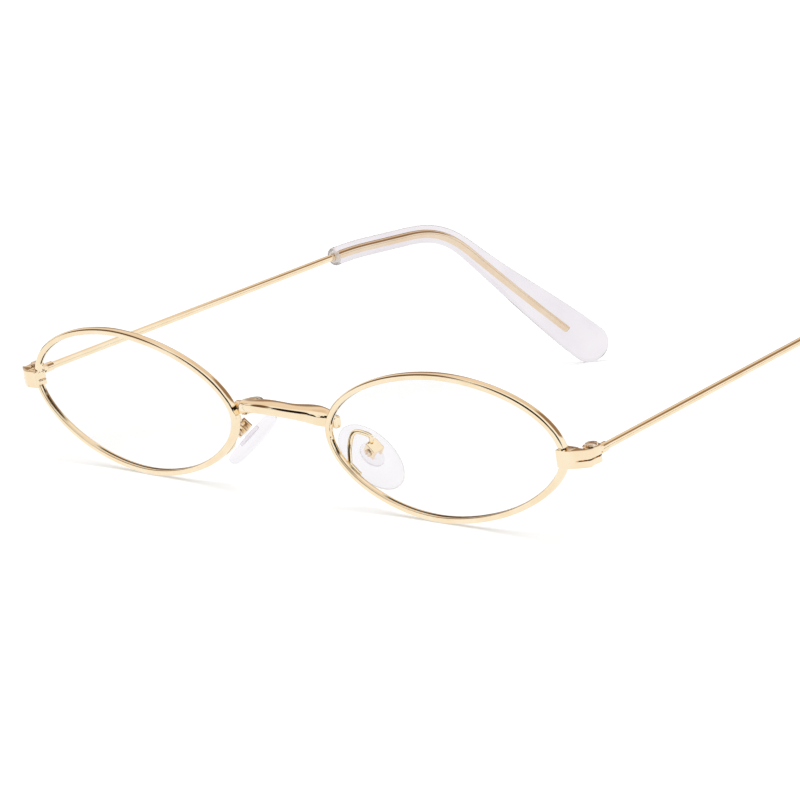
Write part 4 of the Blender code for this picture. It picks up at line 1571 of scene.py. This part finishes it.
    def through(self, knots: Sequence[Vector]) -> List[Vector]:
        """Points on a smooth curve through a few given ones."""
        padded = [2 * knots[0] - knots[1], *knots, 2 * knots[-1] - knots[-2]]
        points = []
        for a, b, c, d in zip(padded, padded[1:], padded[2:], padded[3:]):
            for i in range(self.arm_steps):
                t = i / self.arm_steps
                bend = (2 * a - 5 * b + 4 * c - d) * t * t + (3 * b - a - 3 * c + d) * t ** 3
                points.append(b + ((c - a) * t + bend) / 2)
        return points + [knots[-1]]

    def build(self, shop: Workshop) -> None:
        """Make the pads of both sides."""
        for item, name, node, carrier in (
            (self.box(), "pad_holder", "pad_box", Carrier.FRONT),
            (self.screw(), "pad_pin_screw", "pad_screw", Carrier.FRONT),
            (self.core(), "pad_insert", "pad_core", Carrier.PAD),
        ):
            Bench.move(item, self.frame)
            shop.fix_pair(item, name, node, carrier)
        cushion = self.pad()
        Bench.move(cushion, self.frame)
        for piece in shop.fix_pair(cushion, "pad_cushion", "nose_pad", Carrier.PAD):
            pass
        shop.fix_pair(self.arm(), "pad_arm_wire", "pad_arm", Carrier.FRONT)


# Studio


@dataclass(frozen=True)
class PaintedReflection:
    """A round, soft-edged patch of painted reflection on the studio's cloth, which the metal
    mirrors.
    """

    aim: Tuple[float, float, float]
    full: float
    faded: float
    tone: Color


WHITE: Color = (1.0, 1.0, 1.0)
# Tones of the painted reflections: warm and tan patches, and brown to black ones that the metal
# mirrors as dark bands
WARM_REFLECTION: Color = (0.88, 0.77, 0.67)
TAN_REFLECTION: Color = (0.78, 0.65, 0.53)
BROWN_REFLECTION: Color = (0.32, 0.21, 0.13)
DARK_REFLECTION: Color = (0.16, 0.10, 0.06)
BLACK_REFLECTION: Color = (0.012, 0.009, 0.007)


@dataclass
class Studio:
    """The white table, the cloth with its painted reflections, the soft light and the camera."""

    stance: Matrix
    eye: Vector = Vector((533.6, -500.7, 225.0)) * MM
    aim: Vector = Vector((13.9, 15.4, 0.8)) * MM
    roll: float = math.radians(-1.151)
    focal_pixels: float = 4488.0
    image_pixels: int = 800
    sensor: float = 36.0
    nearest: float = 10 * MM
    table_size: float = 8.0
    table_glow: float = 0.2
    table_through: float = 0.1
    table_mirrored: float = 1.0
    table_tone: float = 0.9
    soft_level: float = 0.5
    cloth_radius: float = 3.0
    cloth_sides: int = 64
    # A dark brown painted reflection in a band round the foot of the cloth, at the horizon
    horizon_reflection: Color = (0.07, 0.042, 0.022)
    horizon_reflection_low: float = 0.035
    horizon_reflection_high: float = 0.09
    # Painted reflections behind and above the eyeglasses, laid under the dark band
    back_reflections: Tuple[PaintedReflection, ...] = (
        PaintedReflection((-0.60, 0.50, 0.62), math.radians(38), math.radians(55), WARM_REFLECTION),
        PaintedReflection((-0.62, 0.73, 0.28), math.radians(9), math.radians(18), BROWN_REFLECTION),
        PaintedReflection((-0.02, 0.60, 0.80), math.radians(13), math.radians(22), TAN_REFLECTION),
        PaintedReflection((0.32, 0.62, 0.72), math.radians(16), math.radians(23), BROWN_REFLECTION),
    )
    # Painted reflections in front of the eyeglasses, laid over the dark band: black and dark
    # patches
    front_reflections: Tuple[PaintedReflection, ...] = (
        PaintedReflection((0.68, -0.71, 0.17), math.radians(18), math.radians(26), BLACK_REFLECTION),
        PaintedReflection((-0.74, -0.52, 0.36), math.radians(18), math.radians(27), DARK_REFLECTION),
        PaintedReflection((0.0, -0.88, 0.47), math.radians(24), math.radians(29), BLACK_REFLECTION),
    )
    lamp_spread: float = math.radians(70)
    lamp_strength: float = 1.73

    def camera(self) -> None:
        """Stand the camera where the photograph was taken."""
        data = bpy.data.cameras.new("photo_camera")
        data.sensor_width = self.sensor
        data.lens = self.focal_pixels / self.image_pixels * self.sensor
        data.clip_start = self.nearest
        item = bpy.data.objects.new("photo_camera", data)
        bpy.context.scene.collection.objects.link(item)
        eye = self.stance @ self.eye
        look = (self.stance @ self.aim - eye).to_track_quat("-Z", "Y").to_matrix().to_4x4()
        item.matrix_world = Matrix.Translation(eye) @ look @ Matrix.Rotation(self.roll, 4, "Z")
        bpy.context.scene.camera = item

    @staticmethod
    def plain_sight(tree: bpy.types.NodeTree):
        """One for a ray that met only clear pieces since it left the camera.

        Args:
            tree: The node tree to add to.

        Returns:
            The socket of the test.
        """
        path = tree.nodes.new("ShaderNodeLightPath")
        total = tree.nodes.new("ShaderNodeMath")
        tree.links.new(path.outputs["Glossy Depth"], total.inputs[0])
        tree.links.new(path.outputs["Is Diffuse Ray"], total.inputs[1])
        test = tree.nodes.new("ShaderNodeMath")
        test.operation = "LESS_THAN"
        test.inputs[1].default_value = 0.5
        tree.links.new(total.outputs[0], test.inputs[0])
        return test.outputs[0]

    def table(self) -> None:
        """Lay the white table, which keeps the shadow."""
        Bench.clear()
        bpy.ops.mesh.primitive_plane_add(size=self.table_size)
        item = bpy.context.object
        item.name = "table"
        material = bpy.data.materials.new("white_table")
        material.use_nodes = True
        tree = material.node_tree
        shader = tree.nodes["Principled BSDF"]
        shader.inputs["Roughness"].default_value = 1.0
        shader.inputs["Specular IOR Level"].default_value = 0.0
        shader.inputs["Emission Color"].default_value = (*WHITE, 1)
        plain = self.plain_sight(tree)
        tone = tree.nodes.new("ShaderNodeMath")
        tone.operation = "MULTIPLY"
        tone.inputs[1].default_value = self.table_tone
        tree.links.new(plain, tone.inputs[0])
        tree.links.new(tone.outputs[0], shader.inputs["Base Color"])
        glow = tree.nodes.new("ShaderNodeMath")
        glow.operation = "MULTIPLY_ADD"
        glow.inputs[1].default_value = self.table_through - self.table_mirrored
        glow.inputs[2].default_value = self.table_mirrored
        tree.links.new(plain, glow.inputs[0])
        direct = tree.nodes.new("ShaderNodeMath")
        direct.operation = "MULTIPLY_ADD"
        direct.inputs[1].default_value = self.table_glow - self.table_through
        path = tree.nodes.new("ShaderNodeLightPath")
        tree.links.new(path.outputs["Is Camera Ray"], direct.inputs[0])
        tree.links.new(glow.outputs[0], direct.inputs[2])
        tree.links.new(direct.outputs[0], shader.inputs["Emission Strength"])
        item.data.materials.append(material)

    @staticmethod
    def step(tree: bpy.types.NodeTree, source, low: float, high: float):
        """A soft step from nought to one.

        Args:
            tree: The node tree to add to.
            source: The socket that is stepped.
            low: Where the step starts.
            high: Where it ends.

        Returns:
            The stepped socket.
        """
        step = tree.nodes.new("ShaderNodeMapRange")
        step.interpolation_type = "SMOOTHSTEP"
        step.inputs["From Min"].default_value = low
        step.inputs["From Max"].default_value = high
        tree.links.new(source, step.inputs["Value"])
        return step.outputs["Result"]

    @staticmethod
    def blend(tree: bpy.types.NodeTree, factor, under, over: Color):
        """Lay a colour over another one.

        Args:
            tree: The node tree to add to.
            factor: The socket that says where the colour lies.
            under: The socket of the colour below, or a plain colour.
            over: The colour that is laid over it.

        Returns:
            The socket of the result.
        """
        mix = tree.nodes.new("ShaderNodeMix")
        mix.data_type = "RGBA"
        tree.links.new(factor, mix.inputs["Factor"])
        if isinstance(under, bpy.types.NodeSocket):
            tree.links.new(under, mix.inputs[MIX_UNDER])
        else:
            mix.inputs[MIX_UNDER].default_value = (*under, 1)
        mix.inputs[MIX_OVER].default_value = (*over, 1)
        return mix.outputs[MIX_RESULT]

    def lay(self, tree: bpy.types.NodeTree, way, under, reflection: PaintedReflection):
        """Lay a painted reflection over the cloth.

        Args:
            tree: The node tree to add to.
            way: The socket of the direction from the table.
            under: The socket of the colour below, or a plain colour.
            reflection: The painted reflection.

        Returns:
            The socket of the result.
        """
        dot = tree.nodes.new("ShaderNodeVectorMath")
        dot.operation = "DOT_PRODUCT"
        tree.links.new(way, dot.inputs[0])
        dot.inputs[1].default_value = Vector(reflection.aim).normalized()
        edges = math.cos(reflection.faded), math.cos(reflection.full)
        factor = self.step(tree, dot.outputs["Value"], *edges)
        return self.blend(tree, factor, under, reflection.tone)

    def cloth(self) -> None:
        """Hang the white cloth with its painted reflections, which only mirrored rays see."""
        Bench.clear()
        bpy.ops.mesh.primitive_uv_sphere_add(
            segments=self.cloth_sides, ring_count=self.cloth_sides // 2, radius=self.cloth_radius
        )
        item = bpy.context.object
        item.name = "cloth"
        material = bpy.data.materials.new("cloth_painted_reflections")
        material.use_nodes = True
        material.cycles.emission_sampling = "NONE"
        tree = material.node_tree
        tree.nodes.remove(tree.nodes["Principled BSDF"])
        place = tree.nodes.new("ShaderNodeTexCoord")
        unit = tree.nodes.new("ShaderNodeVectorMath")
        unit.operation = "NORMALIZE"
        tree.links.new(place.outputs["Object"], unit.inputs[0])
        way = unit.outputs["Vector"]
        color = WHITE
        for reflection in self.back_reflections:
            color = self.lay(tree, way, color, reflection)
        split = tree.nodes.new("ShaderNodeSeparateXYZ")
        tree.links.new(way, split.inputs["Vector"])
        low = self.step(tree, split.outputs["Z"], self.horizon_reflection_high, self.horizon_reflection_low)
        color = self.blend(tree, low, color, self.horizon_reflection)
        for reflection in self.front_reflections:
            color = self.lay(tree, way, color, reflection)
        # The cloth glows with the painted reflections for mirrored rays only; rays in plain sight
        # pass through it
        glow = tree.nodes.new("ShaderNodeEmission")
        tree.links.new(color, glow.inputs["Color"])
        clear = tree.nodes.new("ShaderNodeBsdfTransparent")
        mix = tree.nodes.new("ShaderNodeMixShader")
        tree.links.new(self.plain_sight(tree), mix.inputs["Fac"])
        tree.links.new(glow.outputs[0], mix.inputs[1])
        tree.links.new(clear.outputs[0], mix.inputs[2])
        tree.links.new(mix.outputs[0], tree.nodes["Material Output"].inputs["Surface"])
        item.data.materials.append(material)
        item.visible_camera = False
        item.visible_diffuse = False
        item.visible_shadow = False

    def world(self) -> None:
        """Make all round the table white, and light the pieces softly from there."""
        world = bpy.data.worlds.new("studio")
        world.use_nodes = True
        bpy.context.scene.world = world
        tree = world.node_tree
        path = tree.nodes.new("ShaderNodeLightPath")
        seen = path.outputs["Is Camera Ray"]
        for kind in ("Is Glossy Ray", "Is Transmission Ray"):
            more = tree.nodes.new("ShaderNodeMath")
            more.operation = "MAXIMUM"
            tree.links.new(seen, more.inputs[0])
            tree.links.new(path.outputs[kind], more.inputs[1])
            seen = more.outputs[0]
        color = self.blend(tree, seen, (self.soft_level,) * 3, WHITE)
        tree.links.new(color, tree.nodes["Background"].inputs["Color"])

    def lamps(self) -> None:
        """Hang one soft lamp high over the table, in the plane of the rims."""
        data = bpy.data.lights.new("soft_box", "SUN")
        data.angle = self.lamp_spread
        data.energy = self.lamp_strength
        item = bpy.data.objects.new("soft_box", data)
        bpy.context.scene.collection.objects.link(item)
        item.matrix_world = self.stance.to_3x3().to_4x4()
        item.visible_glossy = False

    def build(self) -> None:
        """Set up the camera, the table, the cloth and the light."""
        bpy.context.scene.view_settings.view_transform = "Standard"
        self.camera()
        self.table()
        self.cloth()
        self.world()
        self.lamps()


def main() -> None:
    """Build the eyeglasses piece by piece, then the studio round them."""
    logging.basicConfig(level=logging.INFO, format="%(name)s: %(message)s")
    plan = FrontPlan()
    shop = Workshop(plan, Finishes())
    Eyewire(plan).build(shop)
    temple_start = plan.knuckle_radius + Corner.ferrule_gap + Corner.socket_wall + plan.fits.seam
    temple = Temple(plan, temple_start)
    Corner(plan, temple.splay, temple.rise, temple.wire_radius).build(shop)
    temple.build(shop)
    Bridge(plan).build(shop)
    NosePad(plan).build(shop)
    Studio(shop.stance).build()


if __name__ == "__main__":
    main()
